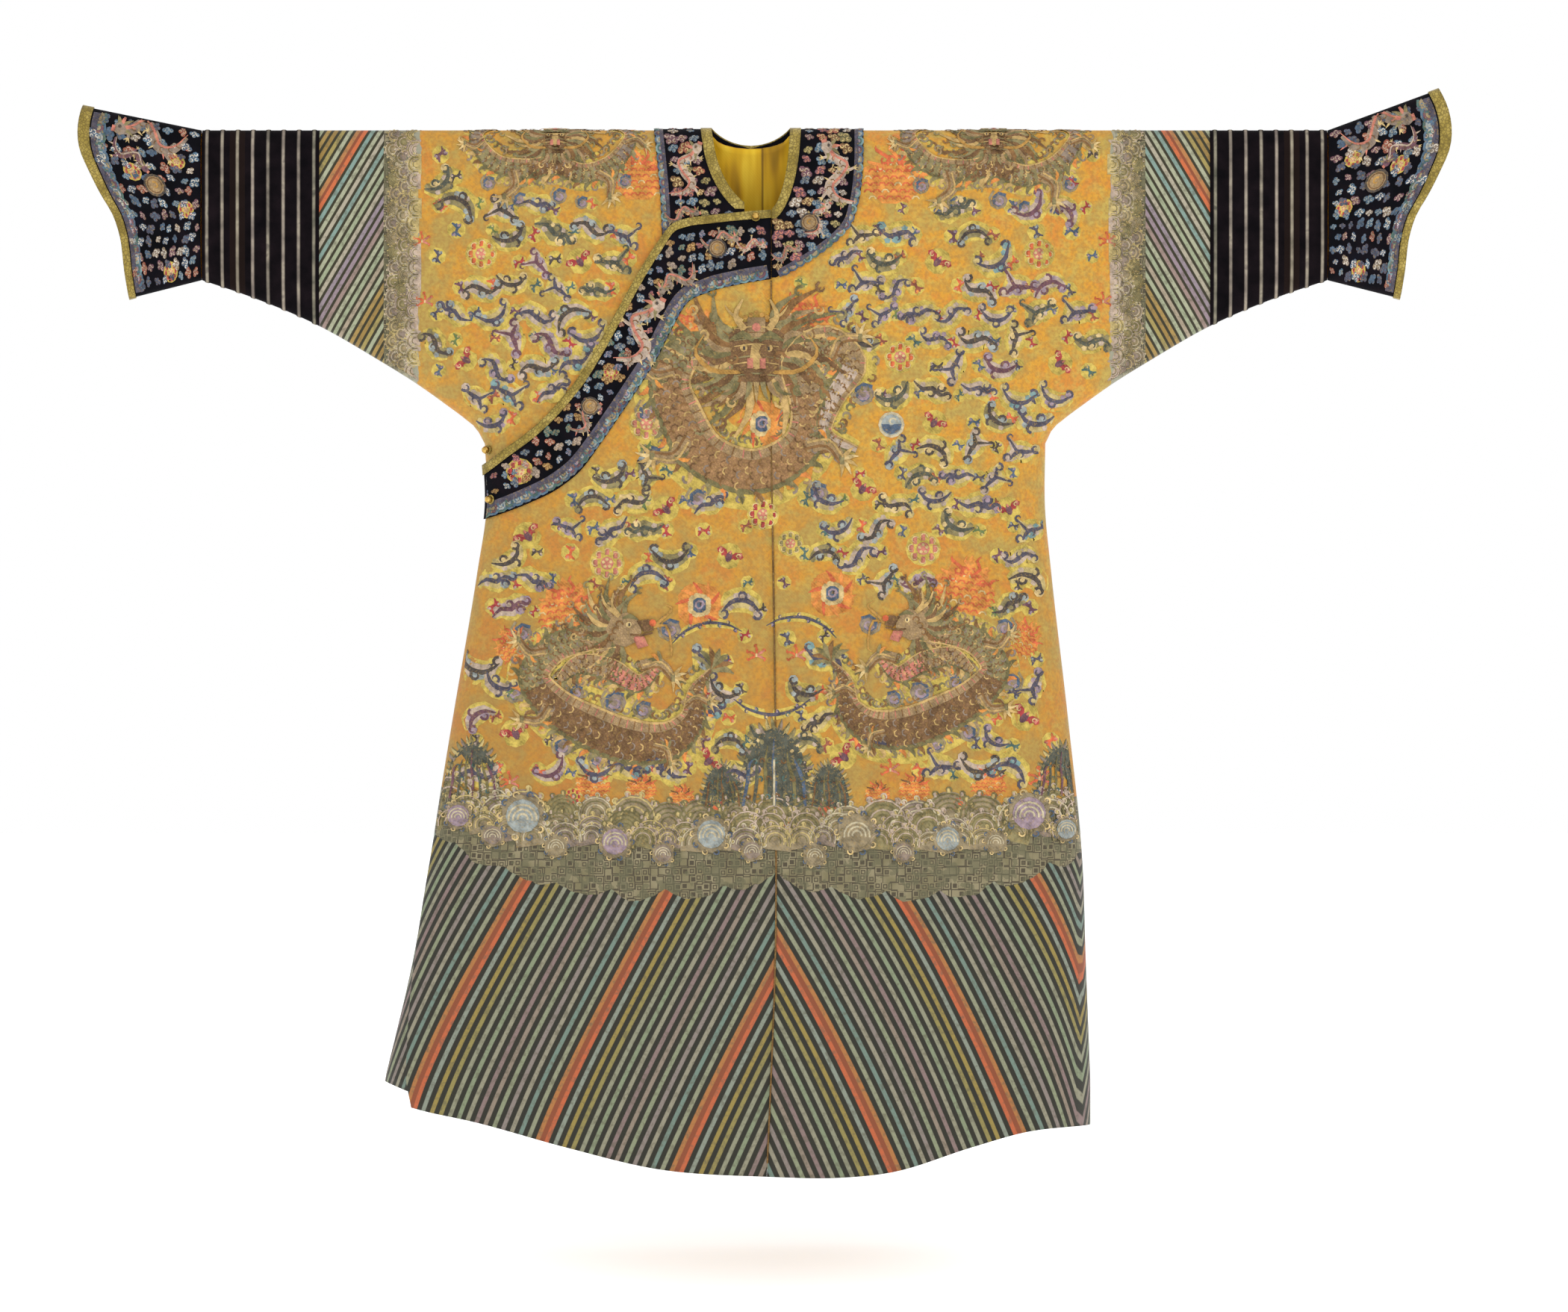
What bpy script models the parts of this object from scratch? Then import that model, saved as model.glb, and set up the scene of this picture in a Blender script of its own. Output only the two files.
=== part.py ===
"""A silk dragon robe, hollow and filled out with no wearer, its sleeves straight out.

X runs across the robe, the front faces -Y and Z is up. The origin is the middle of the shoulder line.
A point of the cloth is given by how far it lies across the robe and by its drop below the shoulders.
"""

import math
from bisect import bisect_right
from collections import namedtuple

import bmesh
import bpy
import numpy as np
from mathutils import Vector

FRONT = -1
BACK = 1
WEARERS_RIGHT = -1
WEARERS_LEFT = 1

# Thicknesses of the cloth, and the clearances that keep the pieces apart.
WALL = 0.0018
BAND_WALL = 0.0010
SEAM_GAP = 0.0003
LAYER_GAP = 0.0005
ON_PANEL = WALL + LAYER_GAP
ON_BAND = ON_PANEL + BAND_WALL + LAYER_GAP

# The rounded fold along the shoulders, and the rounded edge down the sides and under the sleeves.
FOLD_DROP = 0.035
FOLD_ARC = 0.050
BODY_EDGE = 0.085
SLEEVE_EDGE = 0.055

# The body is fullest in the middle and loses this share of its depth towards each side.
CROWN = 0.42
SLEEVE_DEPTH = 0.020
CUFF_DEPTH = 0.021

ARMPIT_DROP = 0.425
ARMPIT_ACROSS = 0.380
SLEEVE_SEAM = 0.606
CUFF_SEAM = 0.766
CUFF_JOIN = 0.0012
CUFF_FOOT = 0.2265
CUFF_TIP_RISE = {WEARERS_RIGHT: 0.033, WEARERS_LEFT: 0.056}
BINDING_WIDTH = 0.015

RIB_COUNT = 8
RIB_HEIGHT = 0.0012
RIB_HALF_WIDTH = 0.0035
RIB_MARGIN = 0.007

NECK_POINT = 0.004
NECK_LEFT_WIDTH = 0.0762
NECK_RIGHT_WIDTH = 0.0306
NECK_DEPTH = 0.110
NECK_BACK_DEPTH = 0.036
# Rows of the neck rings where the neckline turns at the centre back, as shares of its depth.
NECK_TURN_ROWS = (0.95, 1.0)
NECK_SETBACK = 0.003
NECK_LEFT = NECK_POINT - NECK_LEFT_WIDTH
NECK_RIGHT = NECK_POINT + NECK_RIGHT_WIDTH
NECK_MIDDLE = (NECK_LEFT + NECK_RIGHT) / 2
BACK_SEAM = -0.004

# Layers lie this much looser where the side turns, and the overlap this much off the inner front at the hem.
SIDE_EASE = 0.0011
HEM_EASE = 0.0060
HEM_EASE_STARTS = 0.95
TURN_HELD = 0.25

INNER_FRONT_INSET = 0.036
INNER_FRONT_SHORTER = 0.018
# The right half of the back is level with the left at the centre seam, and as short as the inner front this far out.
BACK_SHORTER_FROM = 0.42
OVERLAP_RAMP = 0.030
PIPING_WIDTH = 0.011
COLLAR_ENDS = 0.150
COLLAR_CLEARED = 0.190
COLLAR_SETTLES = 0.080
BACK_COLLAR_DEPTH = 0.118
BACK_COLLAR_SQUARENESS = 2.4
BINDING_ENDS = {WEARERS_RIGHT: 0.108, WEARERS_LEFT: 0.121}
RING_GAP = 0.001
LINING_LEFT = -0.115
LINING_RIGHT = 0.095
LINING_START = 0.014
LINING_END = 0.260
LINING_WALL = 0.0010
LINING_GAP = 0.0009

BUTTON_RADIUS = 0.0052
LOOP_RADIUS = 0.0054
LOOP_CORD = 0.0012
CURVE_STEP = 0.003
WELD_WITHIN = 0.00005

# How many steps each stretch of the cloth is divided into.
FOLD_STEPS = 4
MIDDLE_STEPS = 3
EDGE_STEPS = 4
LOWER_STEPS = 12
NECK_STEPS = 4
FLAT_STEPS = 5
SLEEVE_STEPS = 5
OVERLAP_STEPS = 17
COLLAR_BACK_STEPS = 7
COLLAR_FRONT_STEPS = 9
LINING_STEPS = 8
CUFF_STEPS = 6
BALL_STEPS = 8
LOOP_STEPS = 16
OUTLINE_STEPS = 60

# How far the outlines that distances are taken from run on past the hem and the cuff seam.
OUTLINE_SPARE = 0.12

SideRow = namedtuple("SideRow", "drop right left")
BODY_SIDES = (
    SideRow(0.425, 0.3800, 0.3810),
    SideRow(0.510, 0.3760, 0.3805),
    SideRow(0.600, 0.3880, 0.3890),
    SideRow(0.800, 0.4210, 0.4120),
    SideRow(1.000, 0.4560, 0.4320),
    SideRow(1.120, 0.4760, 0.4360),
    SideRow(1.292, 0.5160, 0.4425),
)

UnderarmRow = namedtuple("UnderarmRow", "across drop")
UNDERARM = (
    UnderarmRow(0.380, 0.4250),
    UnderarmRow(0.389, 0.4080),
    UnderarmRow(0.408, 0.3900),
    UnderarmRow(0.430, 0.3735),
    UnderarmRow(0.475, 0.3415),
    UnderarmRow(0.525, 0.3105),
    UnderarmRow(0.606, 0.2640),
    UnderarmRow(0.700, 0.2240),
    UnderarmRow(0.766, 0.2015),
)

DepthRow = namedtuple("DepthRow", "drop front back")
BODY_DEPTHS = (
    DepthRow(0.00, 0.024, 0.022),
    DepthRow(0.10, 0.038, 0.033),
    DepthRow(0.25, 0.052, 0.043),
    DepthRow(0.45, 0.065, 0.053),
    DepthRow(0.75, 0.081, 0.065),
    DepthRow(1.05, 0.097, 0.077),
    DepthRow(1.42, 0.118, 0.092),
)

HemRow = namedtuple("HemRow", "across drop")
HEM = (
    HemRow(-0.520, 1.310),
    HemRow(-0.470, 1.328),
    HemRow(-0.390, 1.346),
    HemRow(-0.270, 1.379),
    HemRow(-0.146, 1.408),
    HemRow(0.000, 1.418),
    HemRow(0.100, 1.420),
    HemRow(0.170, 1.413),
    HemRow(0.280, 1.380),
    HemRow(0.360, 1.358),
    HemRow(0.445, 1.352),
)

SeamRow = namedtuple("SeamRow", "drop across")
FRONT_SEAM = (
    SeamRow(0.425, 0.009),
    SeamRow(0.85, 0.015),
    SeamRow(1.10, 0.015),
    SeamRow(1.42, 0.003),
)

# The free edge of the overlap, and the lower edge of the band that borders it, from the seam to the side.
BandRow = namedtuple("BandRow", "across edge trim")
OVERLAP_BAND = (
    BandRow(-0.384, 0.4590, 0.5310),
    BandRow(-0.355, 0.4370, 0.5210),
    BandRow(-0.319, 0.4100, 0.5060),
    BandRow(-0.279, 0.3700, 0.4850),
    BandRow(-0.248, 0.3300, 0.4600),
    BandRow(-0.220, 0.2830, 0.4240),
    BandRow(-0.198, 0.2430, 0.3920),
    BandRow(-0.170, 0.1930, 0.3500),
    BandRow(-0.146, 0.1550, 0.3120),
    BandRow(-0.127, 0.1300, 0.2740),
    BandRow(-0.108, 0.1220, 0.2400),
    BandRow(-0.077, 0.1175, 0.2220),
    BandRow(-0.035, 0.1130, 0.2110),
    BandRow(0.009, 0.1090, 0.2030),
)

# How far the overlap's free edge stands back from the side of the robe.
SetbackRow = namedtuple("SetbackRow", "drop inset")
OVERLAP_SETBACK = (
    SetbackRow(0.425, 0.0020),
    SetbackRow(0.950, 0.0030),
    SetbackRow(1.150, 0.0100),
    SetbackRow(1.330, 0.0430),
)

# The outer edge of the round collar band on each side of the neck.
CollarRow = namedtuple("CollarRow", "drop across")
COLLAR_OUTER = {
    WEARERS_RIGHT: (
        CollarRow(0.000, -0.1505),
        CollarRow(0.045, -0.1455),
        CollarRow(0.090, -0.1415),
        CollarRow(0.150, -0.1390),
    ),
    WEARERS_LEFT: (
        CollarRow(0.000, 0.1345),
        CollarRow(0.060, 0.1330),
        CollarRow(0.100, 0.1270),
        CollarRow(0.130, 0.1160),
        CollarRow(0.160, 0.0840),
        CollarRow(0.180, 0.0540),
        CollarRow(0.193, 0.0310),
        CollarRow(0.201, 0.0150),
    ),
}

# The open edge of a horse-hoof cuff, from the tip over the hand to the palm.
CuffRow = namedtuple("CuffRow", "drop across")
CUFF_EDGE = (
    CuffRow(-0.056, 0.9190),
    CuffRow(-0.033, 0.9290),
    CuffRow(-0.010, 0.9340),
    CuffRow(0.024, 0.9320),
    CuffRow(0.055, 0.9190),
    CuffRow(0.085, 0.9040),
    CuffRow(0.116, 0.8860),
    CuffRow(0.140, 0.8780),
    CuffRow(0.192, 0.8710),
    CuffRow(0.2265, 0.8660),
)

# Soft folds that open towards the hem. Places across are shares of the half width.
FoldRow = namedtuple("FoldRow", "face across starts width swell")
FOLDS = (
    FoldRow(FRONT, -0.78, 0.80, 0.060, 0.0070),
    FoldRow(FRONT, -0.42, 0.95, 0.075, -0.0060),
    FoldRow(FRONT, 0.16, 0.90, 0.080, -0.0050),
    FoldRow(FRONT, 0.62, 0.70, 0.055, -0.0080),
    FoldRow(FRONT, 0.82, 0.75, 0.045, 0.0070),
    FoldRow(BACK, -0.70, 0.70, 0.070, 0.0080),
    FoldRow(BACK, -0.25, 0.85, 0.080, -0.0070),
    FoldRow(BACK, 0.30, 0.75, 0.075, 0.0070),
    FoldRow(BACK, 0.74, 0.65, 0.060, -0.0080),
)

# The carrier is what a button lies on.
ButtonRow = namedtuple("ButtonRow", "name across drop carrier")
BUTTONS = (
    ButtonRow("neck", -0.012, 0.119, "binding"),
    ButtonRow("armpit", -0.374, 0.434, "half"),
    ButtonRow("side", -0.366, 0.502, "band"),
)

MaterialRow = namedtuple("MaterialRow", "colour roughness metallic")
MATERIALS = {
    "yellow_silk": MaterialRow((0.72, 0.38, 0.06), 0.55, 0.0),
    "black_silk": MaterialRow((0.012, 0.010, 0.014), 0.50, 0.0),
    "navy_silk": MaterialRow((0.030, 0.035, 0.075), 0.55, 0.0),
    "gold_brocade": MaterialRow((0.42, 0.27, 0.07), 0.42, 0.2),
    "yellow_lining": MaterialRow((0.58, 0.36, 0.01), 0.50, 0.0),
    "gilt_brass": MaterialRow((0.70, 0.52, 0.24), 0.35, 1.0),
}


def smooth_at(rows, key, column, place):
    """The column's value at a place, on a smooth curve through the rows and level past their ends."""
    places = [getattr(row, key) for row in rows]
    values = [getattr(row, column) for row in rows]
    slopes = np.gradient(values, places)
    place = min(max(place, places[0]), places[-1])
    low = min(bisect_right(places, place), len(places) - 1) - 1
    span = places[low + 1] - places[low]
    t = (place - places[low]) / span
    start = (2 * t**3 - 3 * t**2 + 1) * values[low] + (t**3 - 2 * t**2 + t) * span * slopes[low]
    end = (3 * t**2 - 2 * t**3) * values[low + 1] + (t**3 - t**2) * span * slopes[low + 1]
    return float(start + end)


def eased(share):
    share = min(max(share, 0.0), 1.0)
    return share * share * (3 - 2 * share)


def round_over(share):
    """The height of a quarter round, 0 at its foot and 1 once the share reaches 1."""
    share = min(max(share, 0.0), 1.0)
    return math.sqrt(1 - (1 - share) ** 2)


def quarter_steps(count):
    """Shares from 0 to 1 that divide a quarter round evenly."""
    return [1 - math.cos(math.pi / 2 * step / count) for step in range(count + 1)]


def half_width(half, drop):
    column = "right" if half == WEARERS_RIGHT else "left"
    return smooth_at(BODY_SIDES, "drop", column, drop)


def underarm_drop(across):
    return smooth_at(UNDERARM, "across", "drop", across)


def outline_of(half):
    """The side and the underarm of one half, as points from the hem to the cuff."""
    drops = np.linspace(BODY_SIDES[-1].drop + OUTLINE_SPARE, ARMPIT_DROP, OUTLINE_STEPS)
    side = [(half_width(half, drop), drop) for drop in drops]
    reaches = np.linspace(half_width(half, ARMPIT_DROP), CUFF_SEAM + OUTLINE_SPARE, OUTLINE_STEPS)
    sleeve = [(reach, underarm_drop(reach)) for reach in reaches]
    return np.array(side + sleeve[1:])


OUTLINES = {half: outline_of(half) for half in (WEARERS_RIGHT, WEARERS_LEFT)}


def edge_distance(half, across, drop):
    """How far a point of one half lies from its side or underarm."""
    starts = OUTLINES[half][:-1]
    runs = OUTLINES[half][1:] - starts
    offset = np.array((abs(across), drop)) - starts
    shares = np.clip((offset * runs).sum(axis=1) / (runs**2).sum(axis=1), 0, 1)
    return float(np.linalg.norm(offset - runs * shares[:, None], axis=1).min())


def fold_swell(face, across_share, drop):
    """What the soft folds add to the depth of the body."""
    swell = 0.0
    for fold in FOLDS:
        if fold.face == face:
            grown = eased((drop - fold.starts) / (BODY_DEPTHS[-1].drop - fold.starts))
            spread = (across_share - fold.across) * half_width(WEARERS_LEFT, drop) / fold.width
            swell += fold.swell * grown * math.exp(-spread * spread)
    return swell


def along_sleeve(across):
    return eased((abs(across) - ARMPIT_ACROSS) / (CUFF_SEAM - ARMPIT_ACROSS))


def edge_width(across):
    return BODY_EDGE + (SLEEVE_EDGE - BODY_EDGE) * along_sleeve(across)


def cloth_point(face, across, drop, on_edge=False):
    """A point on the inner side of the cloth, on the front or the back."""
    half = WEARERS_RIGHT if across < 0 else WEARERS_LEFT
    width = half_width(half, drop)
    share = min(abs(across) / width, 1.0)
    column = "front" if face == FRONT else "back"
    depth = smooth_at(BODY_DEPTHS, "drop", column, drop) * (1 - CROWN * share * share)
    depth += fold_swell(face, math.copysign(share, across), drop)
    depth += (SLEEVE_DEPTH - depth) * along_sleeve(across)
    rounded = 0.0 if on_edge else round_over(edge_distance(half, across, drop) / edge_width(across))
    return Vector((across, face * depth * rounded * round_over(drop / FOLD_DROP), -drop))


def drop_along(along):
    """The drop of a point that lies so far along the cloth from the shoulder fold."""
    if along < FOLD_ARC:
        return FOLD_DROP * (1 - math.cos(math.pi / 2 * along / FOLD_ARC))
    return FOLD_DROP + along - FOLD_ARC


def neckline_drop(face, across, setback=0.0):
    """The drop of the neckline at a place across, or 0 outside the neck."""
    if face == FRONT:
        width = NECK_LEFT_WIDTH if across < NECK_POINT else NECK_RIGHT_WIDTH
        share = (across - NECK_POINT) / (width + setback)
        depth = NECK_DEPTH + setback
    else:
        share = (across - NECK_MIDDLE) / ((NECK_RIGHT - NECK_LEFT) / 2 + setback)
        depth = drop_along(NECK_BACK_DEPTH + setback)
    return depth * math.sqrt(max(1 - share * share, 0.0))


def seam_across(drop):
    return smooth_at(FRONT_SEAM, "drop", "across", drop)


def hem_drop(across):
    return smooth_at(HEM, "across", "drop", across)


def inner_line(half, face, drop):
    """Where one half begins: at the back seam, at the front seam, or at the edge of the inner front."""
    if face == BACK:
        return BACK_SEAM + half * SEAM_GAP / 2
    if half == WEARERS_LEFT:
        return seam_across(drop) + SEAM_GAP / 2
    return seam_across(drop) - INNER_FRONT_INSET


def neck_side(half):
    edge = NECK_LEFT if half == WEARERS_RIGHT else NECK_RIGHT
    return edge + half * NECK_SETBACK


def across_columns(half, drop, start):
    """Places across one half, from a starting line past the neck and the flat of the body to its side."""
    side = half_width(half, drop)
    neck = neck_side(half)
    flat_end = half * (side - BODY_EDGE)
    columns = [start + (neck - start) * (1 - share) for share in quarter_steps(NECK_STEPS)[::-1]]
    columns += [neck + (flat_end - neck) * step / FLAT_STEPS for step in range(1, FLAT_STEPS + 1)]
    columns += [half * (side - BODY_EDGE * share) for share in quarter_steps(EDGE_STEPS)[::-1][1:]]
    return columns


def upper_rows(foot, edge):
    """Drops from the shoulder fold to an underarm at the foot, fine in the fold and near the edge."""
    rows = [FOLD_DROP * share for share in quarter_steps(FOLD_STEPS)]
    middle = foot - edge - FOLD_DROP
    rows += [FOLD_DROP + middle * step / MIDDLE_STEPS for step in range(1, MIDDLE_STEPS + 1)]
    rows += [foot - edge * share for share in quarter_steps(EDGE_STEPS)[::-1][1:]]
    return rows


UPPER_STEPS = FOLD_STEPS + MIDDLE_STEPS + EDGE_STEPS
BODY_COLUMNS = NECK_STEPS + FLAT_STEPS + EDGE_STEPS


def add_grid(bm, columns, rows, place, turned):
    """A grid of cloth, each point placed by its column and row. Turned grids face the other way."""
    made = bmesh.ops.create_grid(bm, x_segments=columns, y_segments=rows, size=1.0)["verts"]
    faces = {face for vert in made for face in vert.link_faces}
    for vert in made:
        column = round((vert.co.x + 1) / 2 * columns)
        row = round((1 - vert.co.y) / 2 * rows)
        vert.co = place(column, row)
    if turned:
        bmesh.ops.reverse_faces(bm, faces=list(faces))
    return made


def move_out(bm, distance_at):
    """Moves each point out along the normal of its sheet by a distance found from its place."""
    bm.normal_update()
    moves = [vert.normal * distance_at(vert.co) for vert in bm.verts]
    for vert, move in zip(bm.verts, moves):
        vert.co += move


def weld(bm):
    bmesh.ops.remove_doubles(bm, verts=bm.verts, dist=WELD_WITHIN)


def body_height(half, face, column, row):
    """The point of one half's body at a column and a row, above or below the level of the armpit."""
    start = inner_line(half, face, ARMPIT_DROP)
    if row <= UPPER_STEPS:
        across = across_columns(half, ARMPIT_DROP, start)[column]
        level = upper_rows(ARMPIT_DROP, BODY_EDGE)[row] / ARMPIT_DROP
        if column < NECK_STEPS:
            top = neckline_drop(face, across, NECK_SETBACK)
            drop = top + (ARMPIT_DROP - top) * level
        else:
            drop = ARMPIT_DROP * level
        if column == 0 and face == FRONT:
            across = inner_line(half, face, drop)
        return across, drop
    share = (row - UPPER_STEPS) / LOWER_STEPS
    end = across_columns(half, BODY_SIDES[-1].drop, inner_line(half, face, BODY_SIDES[-1].drop))[column]
    foot = hem_drop(end)
    if half == WEARERS_RIGHT:
        shorter = 1.0 if face == FRONT else eased(abs(end - BACK_SEAM) / BACK_SHORTER_FROM)
        foot -= INNER_FRONT_SHORTER * shorter
    drop = ARMPIT_DROP + (foot - ARMPIT_DROP) * share
    return across_columns(half, drop, inner_line(half, face, drop))[column], drop


def body_half(half):
    """Back, front and upper sleeve of one half, joined along the shoulder, the underarm and the side."""
    bm = bmesh.new()
    side = half_width(half, ARMPIT_DROP)
    sleeve_end = SLEEVE_SEAM - SEAM_GAP / 2
    for face in (FRONT, BACK):

        def on_body(column, row, face=face):
            across, drop = body_height(half, face, column, row)
            at_side = column == BODY_COLUMNS and row >= UPPER_STEPS
            return cloth_point(face, across, drop, on_edge=at_side)

        def on_sleeve(column, row, face=face):
            reach = side + (sleeve_end - side) * column / SLEEVE_STEPS
            foot = underarm_drop(reach) if column else ARMPIT_DROP
            drop = upper_rows(foot, edge_width(reach))[row]
            return cloth_point(face, half * reach, drop, on_edge=row == UPPER_STEPS)

        turned = half * face == 1
        add_grid(bm, BODY_COLUMNS, UPPER_STEPS + LOWER_STEPS, on_body, turned)
        add_grid(bm, SLEEVE_STEPS, UPPER_STEPS, on_sleeve, turned)
    weld(bm)
    return bm


def overlap_columns(drop):
    """Places across the overlap, on the same lines as the inner front and on to the front seam."""
    seam = seam_across(drop) - SEAM_GAP / 2
    columns = across_columns(WEARERS_RIGHT, drop, inner_line(WEARERS_RIGHT, FRONT, drop))
    inset = smooth_at(OVERLAP_SETBACK, "drop", "inset", drop)
    for place in range(NECK_STEPS + FLAT_STEPS + 1, BODY_COLUMNS + 1):
        from_side = half_width(WEARERS_RIGHT, drop) + columns[place]
        columns[place] -= from_side - inset - from_side * (1 - inset / BODY_EDGE)
    return [seam, (seam + columns[0]) / 2] + columns


OVERLAP_COLUMNS = BODY_COLUMNS + 2


def overlap_edge(across):
    return smooth_at(OVERLAP_BAND, "across", "edge", across)


def overlap_trim(across):
    return smooth_at(OVERLAP_BAND, "across", "trim", across)


def side_turn(point):
    """1 at the wearer's right side, falling to 0 on the flat of the front."""
    return 1 - eased(edge_distance(WEARERS_RIGHT, point.x, -point.z) / BODY_EDGE - TURN_HELD)


def overlap_level(point):
    """How far the overlap lies out from the inner front: more over the collar, and none at the seam."""
    drop = -point.z
    level = ON_BAND + (ON_PANEL - ON_BAND) * eased((drop - COLLAR_CLEARED) / COLLAR_SETTLES)
    hanging_free = eased((drop - HEM_EASE_STARTS) / (HEM[0].drop - HEM_EASE_STARTS))
    level += side_turn(point) * (SIDE_EASE + HEM_EASE * hanging_free)
    return level * eased((seam_across(drop) - point.x) / OVERLAP_RAMP)


def overlap_front():
    bm = bmesh.new()

    def on_overlap(column, row):
        top = overlap_edge(overlap_columns(ARMPIT_DROP)[column])
        foot = hem_drop(overlap_columns(OVERLAP_SETBACK[-1].drop)[column])
        drop = top + (foot - top) * row / OVERLAP_STEPS
        return cloth_point(FRONT, overlap_columns(drop)[column], drop)

    add_grid(bm, OVERLAP_COLUMNS, OVERLAP_STEPS, on_overlap, turned=True)
    move_out(bm, overlap_level)
    return bm


def strip_level(level, point):
    """How far a strip lies out from the overlap, a little looser where the side turns."""
    return level * (1 + side_turn(point) * SIDE_EASE / ON_PANEL)


def overlap_strip(level, drops_at, across_steps, parts):
    """A strip on the overlap between two drops, its columns on those of the overlap and between them."""
    bm = bmesh.new()

    def place_at(drop, column):
        whole, part = divmod(column, parts)
        places = overlap_columns(drop)
        if not part:
            return places[whole]
        return places[whole] + (places[whole + 1] - places[whole]) * part / parts

    def on_strip(column, row):
        top, foot = drops_at(place_at(ARMPIT_DROP, column))
        drop = top + (foot - top) * row / across_steps
        return cloth_point(FRONT, place_at(max(drop, ARMPIT_DROP), column), drop)

    add_grid(bm, OVERLAP_COLUMNS * parts, across_steps, on_strip, turned=True)
    move_out(bm, lambda point: overlap_level(point) + strip_level(level, point))
    return bm


def overlap_band():
    return overlap_strip(ON_PANEL, lambda across: (overlap_edge(across), overlap_trim(across)), 3, 2)


def overlap_binding():
    """Piping along the free edge, as wide on the slope of the band as along its level part."""

    def drops_at(across):
        rise = overlap_edge(across + CURVE_STEP) - overlap_edge(across - CURVE_STEP)
        slope = rise / (2 * CURVE_STEP)
        return overlap_edge(across), overlap_edge(across) + PIPING_WIDTH * math.hypot(1, slope)

    return overlap_strip(ON_BAND, drops_at, 1, 2)


def cloth_along(across, along):
    """A point on the cloth by how far it lies from the shoulder fold, in front of it or behind it."""
    return cloth_point(FRONT if along > 0 else BACK, across, drop_along(abs(along)))


def along_of(drop):
    """The inverse of drop_along."""
    if drop < FOLD_DROP:
        return FOLD_ARC * math.acos(1 - drop / FOLD_DROP) * 2 / math.pi
    return drop - FOLD_DROP + FOLD_ARC


def neck_across(half, along, wider):
    """The neckline on one side, so far along the cloth, let out by a width, or the line it stops at."""
    if along > 0:
        width = NECK_LEFT_WIDTH if half == WEARERS_RIGHT else NECK_RIGHT_WIDTH
        middle = NECK_POINT
        share = along / (along_of(NECK_DEPTH) + wider)
        drop = drop_along(along)
        stop = inner_line(half, FRONT, drop) + half * SEAM_GAP
    else:
        width = (NECK_RIGHT - NECK_LEFT) / 2
        middle = NECK_MIDDLE
        share = -along / (NECK_BACK_DEPTH + wider)
        stop = NECK_MIDDLE
    edge = middle + half * (width + wider) * math.sqrt(max(1 - share * share, 0.0))
    return max(edge, stop) if half == WEARERS_LEFT else min(edge, stop)


def back_collar_across(half, along):
    outer = COLLAR_OUTER[half][0].across
    share = min(-along / BACK_COLLAR_DEPTH, 1.0)
    width = (1 - share**BACK_COLLAR_SQUARENESS) ** (1 / BACK_COLLAR_SQUARENESS)
    return NECK_MIDDLE + (outer - NECK_MIDDLE) * width


def collar_outer_across(half, along):
    if along <= 0:
        return back_collar_across(half, along)
    return smooth_at(COLLAR_OUTER[half], "drop", "across", drop_along(along))


def fold_rows(parts):
    """Places along the cloth from behind the shoulder fold to in front of it, on the panels' own rows."""
    count = FOLD_STEPS * parts
    return [FOLD_ARC * step / count for step in range(-count, count + 1)]


def neck_ring(level, front_ends, back_end, inner_at, outer_at, steps):
    """A ring of cloth about the neck, open at the front, as two sides joined at the centre back."""
    bm = bmesh.new()
    back_rows = [
        -FOLD_ARC - (back_end - FOLD_ARC) * math.sin(math.pi / 2 * step / COLLAR_BACK_STEPS)
        for step in range(COLLAR_BACK_STEPS, 0, -1)
    ]
    for half in (WEARERS_RIGHT, WEARERS_LEFT):
        run = front_ends[half] - FOLD_ARC
        front_rows = [
            FOLD_ARC + run * math.sin(math.pi / 2 * step / COLLAR_FRONT_STEPS)
            for step in range(1, COLLAR_FRONT_STEPS + 1)
        ]
        turn_rows = [-NECK_BACK_DEPTH * share for share in NECK_TURN_ROWS]
        rows = sorted(back_rows + fold_rows(2) + turn_rows + front_rows)

        def on_ring(column, row, half=half, rows=rows):
            inner = inner_at(half, rows[row])
            outer = outer_at(half, rows[row])
            return cloth_along(inner + (outer - inner) * column / steps, rows[row])

        add_grid(bm, steps, len(rows) - 1, on_ring, turned=half == WEARERS_RIGHT)
    weld(bm)
    bmesh.ops.dissolve_degenerate(bm, edges=bm.edges, dist=WELD_WITHIN)
    move_out(bm, lambda point: level)
    return bm


def collar_band():
    ends = {
        WEARERS_RIGHT: along_of(COLLAR_ENDS),
        WEARERS_LEFT: along_of(COLLAR_OUTER[WEARERS_LEFT][-1].drop),
    }
    return neck_ring(
        ON_PANEL,
        ends,
        BACK_COLLAR_DEPTH - RING_GAP / 2,
        lambda half, along: neck_across(half, along, RING_GAP),
        collar_outer_across,
        steps=3,
    )


def neck_binding():
    return neck_ring(
        ON_BAND,
        {half: along_of(drop) for half, drop in BINDING_ENDS.items()},
        NECK_BACK_DEPTH + BINDING_WIDTH - RING_GAP / 2,
        lambda half, along: neck_across(half, along, 0.0),
        lambda half, along: neck_across(half, along, BINDING_WIDTH),
        steps=1,
    )


def back_lining():
    """The top of the lining inside the back, which the neck opening shows."""
    bm = bmesh.new()

    def on_lining(column, row):
        across = LINING_LEFT + (LINING_RIGHT - LINING_LEFT) * column / LINING_STEPS
        top = max(along_of(neckline_drop(BACK, across)) + NECK_SETBACK, LINING_START)
        return cloth_along(across, -(top + (LINING_END - top) * row / LINING_STEPS))

    add_grid(bm, LINING_STEPS, LINING_STEPS, on_lining, turned=True)
    move_out(bm, lambda point: -(LINING_WALL + LINING_GAP))
    return bm


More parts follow.
